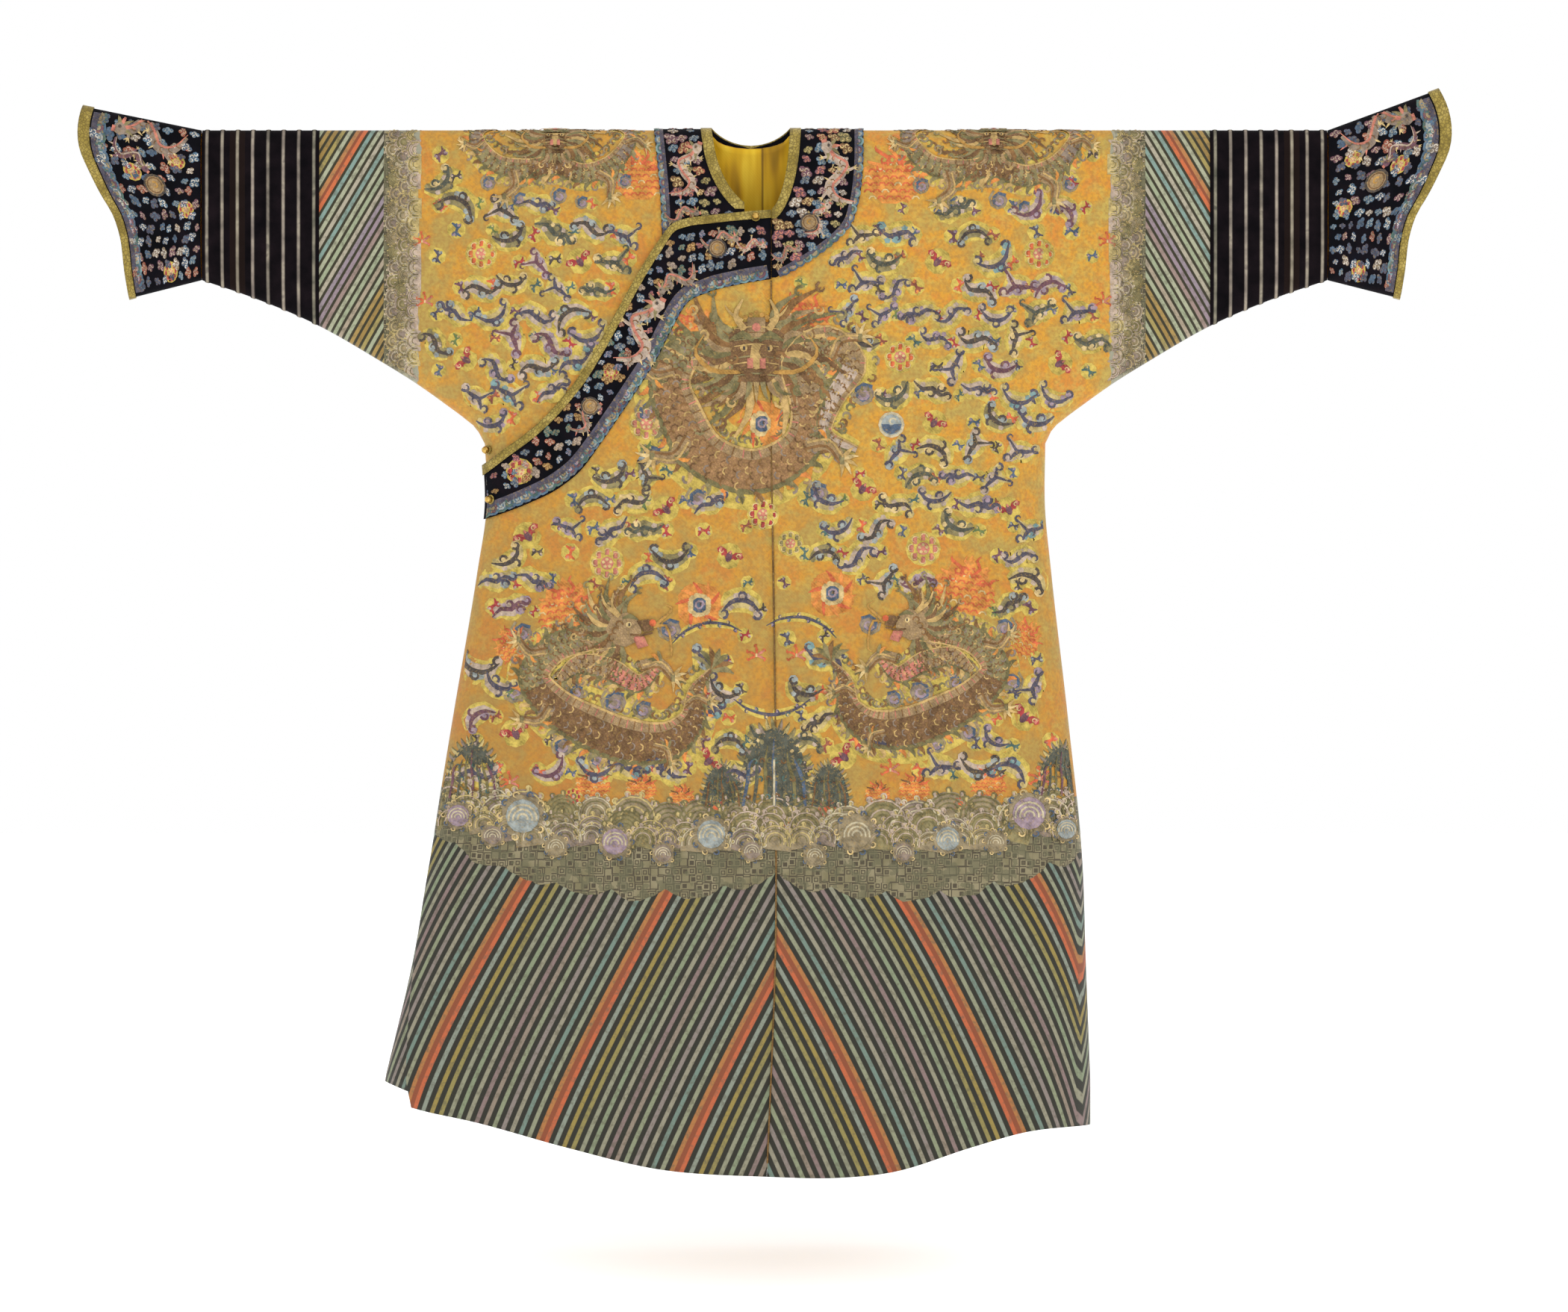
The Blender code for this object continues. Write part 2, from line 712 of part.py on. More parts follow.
def sleeve_ring(bm, half, columns, point_at):
    """A tube of sleeve, as a front and a back grid welded along the top and the underarm."""
    for face in (FRONT, BACK):
        add_grid(
            bm,
            columns,
            UPPER_STEPS,
            lambda column, row, face=face: point_at(face, column, row),
            turned=half * face == 1,
        )
    weld(bm)


def rib_columns():
    """Places along the black sleeve: the foot, crest and foot of each rib, and both ends."""
    start = SLEEVE_SEAM + SEAM_GAP / 2
    end = CUFF_SEAM - SEAM_GAP / 2
    pitch = (end - start - 2 * RIB_MARGIN) / (RIB_COUNT - 1)
    places = [start]
    for rib in range(RIB_COUNT):
        crest = start + RIB_MARGIN + rib * pitch
        places += [crest - RIB_HALF_WIDTH, crest, crest + RIB_HALF_WIDTH]
    return places + [end]


def sleeve_extension(half):
    bm = bmesh.new()
    places = rib_columns()

    def on_sleeve(face, column, row):
        reach = places[column]
        drop = upper_rows(underarm_drop(reach), edge_width(reach))[row]
        return cloth_point(face, half * reach, drop, on_edge=row == UPPER_STEPS)

    sleeve_ring(bm, half, len(places) - 1, on_sleeve)
    return bm


def cuff_point(half, face, share, row):
    """A point of a cuff, by its share of the way from the sleeve to the open edge and its ring row."""
    start = CUFF_SEAM + CUFF_JOIN
    rise = CUFF_TIP_RISE[half]
    foot = underarm_drop(start)
    level = upper_rows(foot, SLEEVE_EDGE)[row] / foot
    edge_drop = -rise + (CUFF_FOOT + rise) * level
    edge_across = smooth_at(CUFF_EDGE, "drop", "across", edge_drop)
    across = start + (edge_across - start) * share
    drop = foot * level + (edge_drop - foot * level) * share
    height = foot + (CUFF_FOOT + rise - foot) * share
    depth = SLEEVE_DEPTH + (CUFF_DEPTH - SLEEVE_DEPTH) * share
    rounded = round_over(level * foot / FOLD_DROP) * round_over((1 - level) * height / SLEEVE_EDGE)
    if row in (0, UPPER_STEPS):
        rounded = 0.0
    return Vector((half * across, face * depth * rounded, -drop))


def hoof_cuff(half):
    bm = bmesh.new()
    sleeve_ring(
        bm,
        half,
        CUFF_STEPS,
        lambda face, column, row: cuff_point(half, face, column / CUFF_STEPS, row),
    )
    return bm


def cuff_binding(half):
    bm = bmesh.new()
    widest = max(row.across for row in CUFF_EDGE)
    start = 1 - BINDING_WIDTH / (widest - CUFF_SEAM)
    sleeve_ring(
        bm,
        half,
        1,
        lambda face, column, row: cuff_point(half, face, start + (1 - start) * column, row),
    )
    move_out(bm, lambda point: ON_PANEL)
    return bm


def material_named(name):
    row = MATERIALS[name]
    material = bpy.data.materials.new(name)
    material.use_nodes = True
    shader = material.node_tree.nodes["Principled BSDF"]
    shader.inputs["Base Color"].default_value = (*row.colour, 1.0)
    shader.inputs["Roughness"].default_value = row.roughness
    shader.inputs["Metallic"].default_value = row.metallic
    return material


def add_object(name, data, material, collection):
    made = bpy.data.objects.new(name, data)
    data.materials.append(material)
    collection.objects.link(made)
    return made


def add_cloth(name, bm, wall, material, collection):
    """An object from an open sheet, its wall added outside the sheet."""
    mesh = bpy.data.meshes.new(name)
    bm.to_mesh(mesh)
    bm.free()
    mesh.shade_smooth()
    cloth = add_object(name, mesh, material, collection)
    shell = cloth.modifiers.new("wall", "SOLIDIFY")
    shell.thickness = wall
    shell.offset = 1.0
    return cloth


def raise_ribs(cloth):
    """Thickens the wall at the crest of each rib, so that the inside stays plain."""
    crests = set(rib_columns()[2::3])
    group = cloth.vertex_groups.new(name="ribs")
    for vert in cloth.data.vertices:
        on_crest = any(abs(abs(vert.co.x) - crest) < RIB_HALF_WIDTH / 2 for crest in crests)
        group.add([vert.index], 1.0 if on_crest else WALL / (WALL + RIB_HEIGHT), "REPLACE")
    shell = cloth.modifiers["wall"]
    shell.thickness = WALL + RIB_HEIGHT
    shell.vertex_group = group.name


def carrier_level(carrier, point):
    """The outer face of what a button lies on."""
    if carrier == "half":
        return WALL
    strip = ON_BAND if carrier == "binding" else ON_PANEL
    return overlap_level(point) + strip_level(strip, point) + BAND_WALL


def outward_at(across, drop):
    """The direction out of the front at a place."""
    run = cloth_point(FRONT, across + CURVE_STEP, drop) - cloth_point(FRONT, across - CURVE_STEP, drop)
    fall = cloth_point(FRONT, across, drop + CURVE_STEP) - cloth_point(FRONT, across, drop - CURVE_STEP)
    return fall.cross(run).normalized()


def add_button(row, brass, silk, collection):
    """A ball button that lies on the cloth inside its cloth loop."""
    outward = outward_at(row.across, row.drop)
    foot = cloth_point(FRONT, row.across, row.drop)
    foot += outward * (carrier_level(row.carrier, foot) + LAYER_GAP)
    turn = outward.to_track_quat("Z", "Y").to_euler()
    bm = bmesh.new()
    bmesh.ops.create_uvsphere(bm, u_segments=BALL_STEPS, v_segments=BALL_STEPS, radius=BUTTON_RADIUS)
    ball_mesh = bpy.data.meshes.new("button_" + row.name)
    bm.to_mesh(ball_mesh)
    bm.free()
    ball_mesh.shade_smooth()
    ball = add_object("button_" + row.name, ball_mesh, brass, collection)
    ball.location = foot + outward * BUTTON_RADIUS
    ball.rotation_euler = turn
    curve = bpy.data.curves.new("loop_" + row.name, "CURVE")
    curve.dimensions = "3D"
    curve.bevel_depth = LOOP_CORD
    curve.bevel_resolution = 1
    spline = curve.splines.new("POLY")
    spline.points.add(LOOP_STEPS - 1)
    for step, point in enumerate(spline.points):
        angle = 2 * math.pi * step / LOOP_STEPS
        point.co = (LOOP_RADIUS * math.cos(angle), LOOP_RADIUS * math.sin(angle), 0.0, 1.0)
    spline.use_cyclic_u = True
    loop = add_object("loop_" + row.name, curve, silk, collection)
    loop.location = foot + outward * LOOP_CORD
    loop.rotation_euler = turn


def main():
    for old in list(bpy.data.objects):
        bpy.data.objects.remove(old, do_unlink=True)
    robe = bpy.data.collections.new("dragon_robe")
    bpy.context.scene.collection.children.link(robe)
    silks = {name: material_named(name) for name in MATERIALS}
    for half, side in ((WEARERS_RIGHT, "right"), (WEARERS_LEFT, "left")):
        add_cloth("body_half_" + side, body_half(half), WALL, silks["yellow_silk"], robe)
        sleeve = sleeve_extension(half)
        raise_ribs(add_cloth("sleeve_extension_" + side, sleeve, WALL, silks["black_silk"], robe))
        add_cloth("hoof_cuff_" + side, hoof_cuff(half), WALL, silks["navy_silk"], robe)
        add_cloth("cuff_binding_" + side, cuff_binding(half), BAND_WALL, silks["gold_brocade"], robe)
    add_cloth("overlap_front", overlap_front(), WALL, silks["yellow_silk"], robe)
    add_cloth("overlap_band", overlap_band(), BAND_WALL, silks["navy_silk"], robe)
    add_cloth("overlap_binding", overlap_binding(), BAND_WALL, silks["gold_brocade"], robe)
    add_cloth("collar_band", collar_band(), BAND_WALL, silks["navy_silk"], robe)
    add_cloth("neck_binding", neck_binding(), BAND_WALL, silks["gold_brocade"], robe)
    add_cloth("back_lining", back_lining(), LINING_WALL, silks["yellow_lining"], robe)
    for row in BUTTONS:
        add_button(row, silks["gilt_brass"], silks["gold_brocade"], robe)


main()
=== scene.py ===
import functools
import math
import random

import bmesh
import bpy
import numpy as np
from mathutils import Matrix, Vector


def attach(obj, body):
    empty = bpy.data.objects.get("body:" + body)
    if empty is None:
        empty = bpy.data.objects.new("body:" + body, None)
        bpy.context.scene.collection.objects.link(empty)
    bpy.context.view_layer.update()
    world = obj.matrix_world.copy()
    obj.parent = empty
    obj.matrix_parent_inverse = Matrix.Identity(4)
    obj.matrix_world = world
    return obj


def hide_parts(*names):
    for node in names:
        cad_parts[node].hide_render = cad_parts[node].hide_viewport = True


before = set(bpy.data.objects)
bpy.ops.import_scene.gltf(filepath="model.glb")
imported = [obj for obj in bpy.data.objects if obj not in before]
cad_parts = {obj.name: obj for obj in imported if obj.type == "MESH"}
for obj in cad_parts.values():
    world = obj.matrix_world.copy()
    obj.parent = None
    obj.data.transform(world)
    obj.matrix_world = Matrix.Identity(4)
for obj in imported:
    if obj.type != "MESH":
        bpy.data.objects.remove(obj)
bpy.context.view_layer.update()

front, back = -1, 1
rightHalf, leftHalf = -1, 1  # the wearer's right is at -X

# The form of the robe in metres, the same as the solids have.
form = {
    "foldDrop": 0.035, "foldArc": 0.05, "bodyEdge": 0.085, "sleeveEdge": 0.055, "crown": 0.42,
    "sleeveDepth": 0.02, "cuffDepth": 0.021, "armpitDrop": 0.425, "armpitAcross": 0.38,
    "sleeveSeam": 0.606, "cuffSeam": 0.766, "cuffJoin": 0.0012, "cuffFoot": 0.2265,
    "neckPoint": 0.004, "neckLeftWidth": 0.0762, "neckRightWidth": 0.0306, "neckDepth": 0.11,
    "neckBackDepth": 0.036, "neckSetback": 0.003, "backSeam": -0.004, "innerInset": 0.036,
    "innerShorter": 0.018, "backShorterFrom": 0.42, "overlapRamp": 0.03, "seamGap": 0.0003, "hemBottom": 1.42,
}
# Thickness and clearance of the layers of cloth.
layers = {"panel": 0.0014, "band": 0.001, "onPanel": 0.0023, "onBand": 0.0038, "sideEase": 0.0011,
          "hemEase": 0.006, "settleFrom": 0.19, "settleOver": 0.08, "freeFrom": 0.95}
cuffTipRise = {rightHalf: 0.033, leftHalf: 0.056}


def inMetres(rows):
    # the first three numbers of a row are written in millimetres
    return tuple(tuple(value / 1000 for value in row[:3]) + row[3:] for row in rows)


def planInMetres(plan):
    return {part: inMetres(rows) for part, rows in plan.items()}


# drop, half width on the wearer's right and left
sideRows = inMetres(
    ((425, 380, 381), (510, 376, 380.5), (600, 388, 389), (800, 421, 412), (1000, 456, 432), (1120, 476, 436),
     (1292, 516, 442.5)))
# across, drop of the underarm
underarmRows = inMetres(
    ((380, 425), (389, 408), (408, 390), (430, 373.5), (475, 341.5), (525, 310.5), (606, 264), (700, 224),
     (766, 201.5)))
# drop, depth of the front and of the back
depthRows = inMetres(
    ((0, 24, 22), (100, 38, 33), (250, 52, 43), (450, 65, 53), (750, 81, 65), (1050, 97, 77), (1420, 118, 92)))
# across, drop of the hem
hemRows = inMetres(
    ((-520, 1310), (-470, 1328), (-390, 1346), (-270, 1379), (-146, 1408), (0, 1418), (100, 1420), (170, 1413),
     (280, 1380), (360, 1358), (445, 1352)))
# drop, place of the front seam
seamRows = inMetres(((425, 9), (850, 15), (1100, 15), (1420, 3)))
# across, drop of the overlap's free edge and of its band's lower edge
bandRows = inMetres(
    ((-384, 459, 531), (-355, 437, 521), (-319, 410, 506), (-279, 370, 485), (-248, 330, 460), (-220, 283, 424),
     (-198, 243, 392), (-170, 193, 350), (-146, 155, 312), (-127, 130, 274), (-108, 122, 240), (-77, 117.5, 222),
     (-35, 113, 211), (9, 109, 203)))
# drop, how far the overlap's edge stands back from the side
setbackRows = inMetres(((425, 2), (950, 3), (1150, 10), (1330, 43)))
# drop, outer edge of the collar band
collarRows = planInMetres({
    rightHalf: ((0, -150.5), (45, -145.5), (90, -141.5), (150, -139)),
    leftHalf: ((0, 134.5), (60, 133), (100, 127), (130, 116), (160, 84), (180, 54), (193, 31), (201, 15)),
})
collarBack = {"reach": 0.118, "squareness": 2.4}
# drop, across of a cuff's open edge
cuffRows = inMetres(
    ((-56, 919), (-33, 929), (-10, 934), (24, 932), (55, 919), (85, 904), (116, 886), (140, 878), (192, 871),
     (226.5, 866)))
# face, share across, drop where it starts, width, swell
foldRows = ((front, -0.78, 0.8, 0.06, 0.007), (front, -0.42, 0.95, 0.075, -0.006), (front, 0.16, 0.9, 0.08, -0.005),
            (front, 0.62, 0.7, 0.055, -0.008), (front, 0.82, 0.75, 0.045, 0.007), (back, -0.7, 0.7, 0.07, 0.008),
            (back, -0.25, 0.85, 0.08, -0.007), (back, 0.3, 0.75, 0.075, 0.007), (back, 0.74, 0.65, 0.06, -0.008))
# Soft creases that handling leaves: across, drop, turn in degrees, length, width, height
creaseRows = ((-0.3, 0.2, 62, 0.22, 0.02, 0.0014), (-0.36, 0.3, 40, 0.16, 0.018, -0.0013),
              (0.3, 0.21, -60, 0.22, 0.02, -0.0014), (0.37, 0.31, -38, 0.16, 0.018, 0.0013),
              (-0.22, 0.72, 0, 0.3, 0.02, -0.001), (0.2, 0.66, 4, 0.34, 0.02, -0.001),
              (0.02, 1.05, -3, 0.5, 0.022, 0.001), (-0.5, 0.15, 78, 0.12, 0.016, 0.0012),
              (0.51, 0.15, -80, 0.12, 0.016, 0.0012), (0.12, 0.4, 80, 0.3, 0.022, 0.0012),
              (-0.3, 1.16, 82, 0.36, 0.024, 0.0016), (0.3, 1.2, -84, 0.36, 0.024, -0.0016))


def smoothAt(rows, column, at):
    table = np.array(rows, dtype=float)
    places, values = table[:, 0], table[:, column]
    slopes = np.gradient(values, places)
    at = np.clip(at, places[0], places[-1])
    low = np.clip(np.searchsorted(places, at, side="right"), 1, len(places) - 1) - 1
    span = places[low + 1] - places[low]
    t = (at - places[low]) / span
    start = (2 * t**3 - 3 * t**2 + 1) * values[low] + (t**3 - 2 * t**2 + t) * span * slopes[low]
    return start + (3 * t**2 - 2 * t**3) * values[low + 1] + (t**3 - t**2) * span * slopes[low + 1]


def eased(share):
    share = np.clip(share, 0.0, 1.0)
    return share * share * (3 - 2 * share)


def roundOver(share):
    return np.sqrt(1 - (1 - np.clip(share, 0.0, 1.0)) ** 2)


def quarterSteps(count):
    return 1 - np.cos(math.pi / 2 * np.arange(count + 1) / count)


def halfWidth(across, drop):
    return np.where(np.asarray(across) < 0, smoothAt(sideRows, 1, drop), smoothAt(sideRows, 2, drop))


def underarmDrop(across):
    return smoothAt(underarmRows, 1, np.abs(across))


def outlineOf(half):
    drops = np.linspace(sideRows[-1][0] + 0.12, form["armpitDrop"], 60)
    side = np.stack((halfWidth(half, drops), drops), axis=1)
    reaches = np.linspace(float(halfWidth(half, form["armpitDrop"])), form["cuffSeam"] + 0.12, 60)
    return np.concatenate((side, np.stack((reaches, underarmDrop(reaches)), axis=1)[1:]))


outlines = {half: outlineOf(half) for half in (rightHalf, leftHalf)}


def edgeDistance(across, drop):
    result = np.zeros(len(across))
    for half in (rightHalf, leftHalf):
        mine = across < 0 if half == rightHalf else across >= 0
        spots = np.stack((np.abs(across[mine]), drop[mine]), axis=1)
        nearest = np.full(len(spots), 9.0)
        for start, end in zip(outlines[half][:-1], outlines[half][1:]):
            run = end - start
            offset = spots - start
            share = np.clip(offset @ run / (run @ run), 0, 1)
            nearest = np.minimum(nearest, np.hypot(offset[:, 0] - share * run[0], offset[:, 1] - share * run[1]))
        result[mine] = nearest
    return result


def alongSleeve(across):
    return eased((np.abs(across) - form["armpitAcross"]) / (form["cuffSeam"] - form["armpitAcross"]))


def edgeWidth(across):
    return form["bodyEdge"] + (form["sleeveEdge"] - form["bodyEdge"]) * alongSleeve(across)


def foldSwell(face, shareAcross, drop):
    swell = np.zeros(len(drop))
    for foldFace, place, starts, width, height in foldRows:
        grown = eased((drop - starts) / (form["hemBottom"] - starts))
        spread = (shareAcross - place) * halfWidth(1, drop) / width
        swell += np.where(face == foldFace, height * grown * np.exp(-spread * spread), 0)
    return swell


def creaseSwell(face, across, drop):
    swell = 0.0007 * np.sin(across * 31 + drop * 9) * np.sin(drop * 23 - across * 7 + face)
    for place, level, turn, length, width, height in creaseRows:
        turn = math.radians(turn)
        x, y = across * face * -1 - place, drop - level
        run, off = x * math.cos(turn) + y * math.sin(turn), y * math.cos(turn) - x * math.sin(turn)
        swell += height * np.exp(-((run / length * 2) ** 2) - (off / width) ** 2)
    return swell


def clothPoints(face, across, drop, onEdge=False):
    across, drop = np.asarray(across, float), np.asarray(drop, float)
    face = np.broadcast_to(face, across.shape)
    share = np.minimum(np.abs(across) / halfWidth(across, drop), 1.0)
    depth = np.where(face == front, smoothAt(depthRows, 1, drop), smoothAt(depthRows, 2, drop))
    depth = depth * (1 - form["crown"] * share**2) + foldSwell(face, np.copysign(share, across), drop)
    depth += (form["sleeveDepth"] - depth) * alongSleeve(across)
    depth += creaseSwell(face, across, drop)
    rounded = np.where(onEdge, 0.0, roundOver(edgeDistance(across, drop) / edgeWidth(across)))
    return np.stack((across, face * depth * rounded * roundOver(drop / form["foldDrop"]), -drop), axis=1)


def dropAlong(along):
    inFold = form["foldDrop"] * (1 - np.cos(math.pi / 2 * np.minimum(along / form["foldArc"], 1)))
    return np.where(along < form["foldArc"], inFold, form["foldDrop"] + along - form["foldArc"])


def alongOf(drop):
    inFold = form["foldArc"] * np.arccos(1 - np.minimum(drop / form["foldDrop"], 1)) * 2 / math.pi
    return np.where(drop < form["foldDrop"], inFold, drop - form["foldDrop"] + form["foldArc"])


def clothAlong(across, along):  # along is positive on the front and negative on the back
    along = np.asarray(along, float)
    return clothPoints(np.where(along > 0, front, back), across, dropAlong(np.abs(along)))


def seamAcross(drop):
    return smoothAt(seamRows, 1, drop)


def hemDrop(across):
    return smoothAt(hemRows, 1, across)


def sideTurn(across, drop):
    return 1 - eased(edgeDistance(across, drop) / form["bodyEdge"] - 0.25)


def overlapLevel(across, drop):
    settled = eased((drop - layers["settleFrom"]) / layers["settleOver"])
    level = layers["onBand"] + (layers["onPanel"] - layers["onBand"]) * settled
    hangingFree = eased((drop - layers["freeFrom"]) / (hemRows[0][1] - layers["freeFrom"]))
    level = level + sideTurn(across, drop) * (layers["sideEase"] + layers["hemEase"] * hangingFree)
    return level * eased((seamAcross(drop) - across) / form["overlapRamp"])


def stripLevel(level, across, drop):
    return level * (1 + sideTurn(across, drop) * layers["sideEase"] / layers["onPanel"])


def hexColour(code):
    values = [int(code[i:i + 2], 16) / 255 for i in (1, 3, 5)]
    return (*[v / 12.92 if v <= 0.04045 else ((v + 0.055) / 1.055) ** 2.4 for v in values], 1.0)


def asValue(value):
    return hexColour(value) if isinstance(value, str) else value


def feed(node, inputs):
    # links sockets and sets plain values, with colours as hex codes
    for socket, value in inputs.items() if isinstance(inputs, dict) else enumerate(inputs):
        if isinstance(value, bpy.types.NodeSocket):
            node.id_data.links.new(value, node.inputs[socket])
        else:
            node.inputs[socket].default_value = asValue(value)


def addNode(tree, kind, inputs=(), output=0, stops=(), sharp=False, **settings):
    # adds a node with its settings and links, and the stops of its colour ramp where it has one
    node = tree.nodes.new("ShaderNode" + kind)
    for name, value in settings.items():
        setattr(node, name, value)
    if stops:
        ramp = node.color_ramp
        ramp.interpolation = "CONSTANT" if sharp else "LINEAR"
        while len(ramp.elements) < len(stops):
            ramp.elements.new(1.0)
        for element, (place, colour) in zip(ramp.elements, stops):
            element.position, element.color = place, asValue(colour)
    feed(node, inputs)
    return node.outputs if output is None else node.outputs[output]


def added(name, data):
    # a new object at the origin
    item = bpy.data.objects.new(name, data)
    bpy.context.scene.collection.objects.link(item)
    return item


# How finely each stretch of cloth is divided.
steps = {"fold": 7, "middle": 14, "edge": 9, "lower": 74, "neck": 6, "flat": 24, "sleeve": 28}
upperSteps = steps["fold"] + steps["middle"] + steps["edge"]
bodyColumns = steps["neck"] + steps["flat"] + steps["edge"]


def addGrid(bm, points, turned, uStart=0.0, uSign=1.0, mirrorAt=None):
    # points has rows, columns and x, y, z; the UV map holds metres across from the seam and metres of drop
    rows, columns = points.shape[0] - 1, points.shape[1] - 1
    runs = np.linalg.norm(np.diff(points, axis=1), axis=2)
    u = np.concatenate((np.zeros((rows + 1, 1)), np.cumsum(runs, axis=1)), axis=1)
    if mirrorAt is not None:
        fold = np.array([np.interp(mirrorAt, np.abs(points[row, :, 0]), u[row]) for row in range(rows + 1)])
        u = np.minimum(u, 2 * fold[:, None] - u)
    u = uStart + uSign * u
    made = bmesh.ops.create_grid(bm, x_segments=columns, y_segments=rows, size=1.0)["verts"]
    layer = bm.loops.layers.uv.verify()
    places = {}
    for vert in made:
        place = (round((1 - vert.co.y) / 2 * rows), round((vert.co.x + 1) / 2 * columns))
        places[vert] = place
        vert.co = points[place]
    faces = {face for vert in made for face in vert.link_faces}
    for face in faces:
        for loop in face.loops:
            place = places[loop.vert]
            loop[layer].uv = (u[place], points[place][2])
    if turned:
        bmesh.ops.reverse_faces(bm, faces=list(faces))
    return made


def moveOut(bm, level):
    # level is in metres, or works it out from across and drop
    bm.normal_update()
    verts = list(bm.verts)
    spots = np.array([vert.co for vert in verts])
    levels = level(spots[:, 0], -spots[:, 2]) if callable(level) else np.full(len(verts), level)
    for vert, out in zip(verts, levels):
        vert.co += vert.normal * float(out)


def weld(bm):
    bmesh.ops.remove_doubles(bm, verts=bm.verts, dist=0.00005)


def upperRows(foot, edge):
    rows = [form["foldDrop"] * share for share in quarterSteps(steps["fold"])]
    middle = foot - edge - form["foldDrop"]
    rows += [form["foldDrop"] + middle * step / steps["middle"] for step in range(1, steps["middle"] + 1)]
    return np.array(rows + [foot - edge * share for share in quarterSteps(steps["edge"])[::-1][1:]])


def neckEdge(half):
    width = form["neckLeftWidth"] if half == rightHalf else form["neckRightWidth"]
    return form["neckPoint"] + half * width


neckMiddle = (neckEdge(rightHalf) + neckEdge(leftHalf)) / 2


def necklineDrop(face, across, setback=0.0):
    across = np.asarray(across, float)
    if face == front:
        width = np.where(across < form["neckPoint"], form["neckLeftWidth"], form["neckRightWidth"])
        share, depth = (across - form["neckPoint"]) / (width + setback), form["neckDepth"] + setback
    else:
        share = (across - neckMiddle) / ((neckEdge(leftHalf) - neckEdge(rightHalf)) / 2 + setback)
        depth = float(dropAlong(form["neckBackDepth"] + setback))
    return depth * np.sqrt(np.maximum(1 - share * share, 0.0))


def innerLine(half, face, drop):
    if face == back:
        return form["backSeam"] + half * form["seamGap"] / 2 + 0 * drop
    if half == leftHalf:
        return seamAcross(drop) + form["seamGap"] / 2
    return seamAcross(drop) - form["innerInset"]


def acrossColumns(half, drop, start):
    # one row of places for each drop, shape (rows, columns)
    drop, start = np.atleast_1d(drop), np.atleast_1d(start)
    side = halfWidth(half, drop)
    neck = neckEdge(half) + half * form["neckSetback"]
    flatEnd = half * (side - form["bodyEdge"])
    toNeck = 1 - quarterSteps(steps["neck"])[::-1]
    flat = np.arange(1, steps["flat"] + 1) / steps["flat"]
    edge = quarterSteps(steps["edge"])[::-1][1:]
    return np.concatenate((
        start[:, None] + (neck - start[:, None]) * toNeck,
        neck + (flatEnd[:, None] - neck) * flat,
        half * (side[:, None] - form["bodyEdge"] * edge),
    ), axis=1)


def bodyPlaces(half, face):
    armpit = form["armpitDrop"]
    upper = acrossColumns(half, armpit, innerLine(half, face, np.array([armpit])))[0]
    levels = upperRows(armpit, form["bodyEdge"]) / armpit
    tops = np.where(np.arange(bodyColumns + 1) < steps["neck"], necklineDrop(face, upper, form["neckSetback"]), 0)
    drops = tops[None, :] + (armpit - tops[None, :]) * levels[:, None]
    across = np.repeat(upper[None, :], len(levels), axis=0)
    if face == front:
        across[:, 0] = innerLine(half, face, drops[:, 0])
    hemLevel = np.array([sideRows[-1][0]])
    ends = acrossColumns(half, hemLevel, innerLine(half, face, hemLevel))[0]
    feet = hemDrop(ends)
    if half == rightHalf:  # the inner front is shorter, and the back is as short at its side
        fromSeam = np.abs(ends - form["backSeam"]) / form["backShorterFrom"]
        feet = feet - form["innerShorter"] * (1.0 if face == front else eased(fromSeam))
    shares = np.arange(1, steps["lower"] + 1) / steps["lower"]
    lowerDrops = armpit + (feet[None, :] - armpit) * shares[:, None]
    lowerAcross = np.zeros_like(lowerDrops)
    for column in range(bodyColumns + 1):
        drop = lowerDrops[:, column]
        lowerAcross[:, column] = acrossColumns(half, drop, innerLine(half, face, drop))[:, column]
    return np.concatenate((across, lowerAcross)), np.concatenate((drops, lowerDrops))


def sheetPoints(face, across, drop, onEdge=False):
    flat = np.broadcast_to(onEdge, across.shape).ravel()
    return clothPoints(face, across.ravel(), drop.ravel(), flat).reshape(*across.shape, 3)


def addTube(bm, half, face, reach, feet):
    # one face of a sleeve, from its first place along the arm to its last
    drop = np.stack([upperRows(foot, float(edgeWidth(place))) for foot, place in zip(feet, reach)], axis=1)
    across = np.repeat(half * reach[None, :], upperSteps + 1, axis=0)
    onEdge = np.zeros(across.shape, dtype=bool)
    onEdge[-1] = True
    addGrid(bm, sheetPoints(face, across, drop, onEdge), half * face == 1, uStart=half * reach[0], uSign=half)


def bodyHalf(half):
    bm = bmesh.new()
    side = float(halfWidth(half, form["armpitDrop"]))
    for face in (front, back):
        across, drop = bodyPlaces(half, face)
        onEdge = np.zeros(across.shape, dtype=bool)
        onEdge[upperSteps:, -1] = True
        points = sheetPoints(face, across, drop, onEdge)
        uStart = half * form["innerInset"] if half == rightHalf and face == front else 0.0
        mirrorAt = 0.428 if half == leftHalf and face == front else None
        addGrid(bm, points, half * face == 1, uStart=uStart, uSign=half, mirrorAt=mirrorAt)
        toSeam = form["sleeveSeam"] - form["seamGap"] / 2 - side
        reach = side + toSeam * np.arange(steps["sleeve"] + 1) / steps["sleeve"]
        feet = underarmDrop(reach)
        feet[0] = form["armpitDrop"]
        addTube(bm, half, face, reach, feet)
    weld(bm)
    return bm


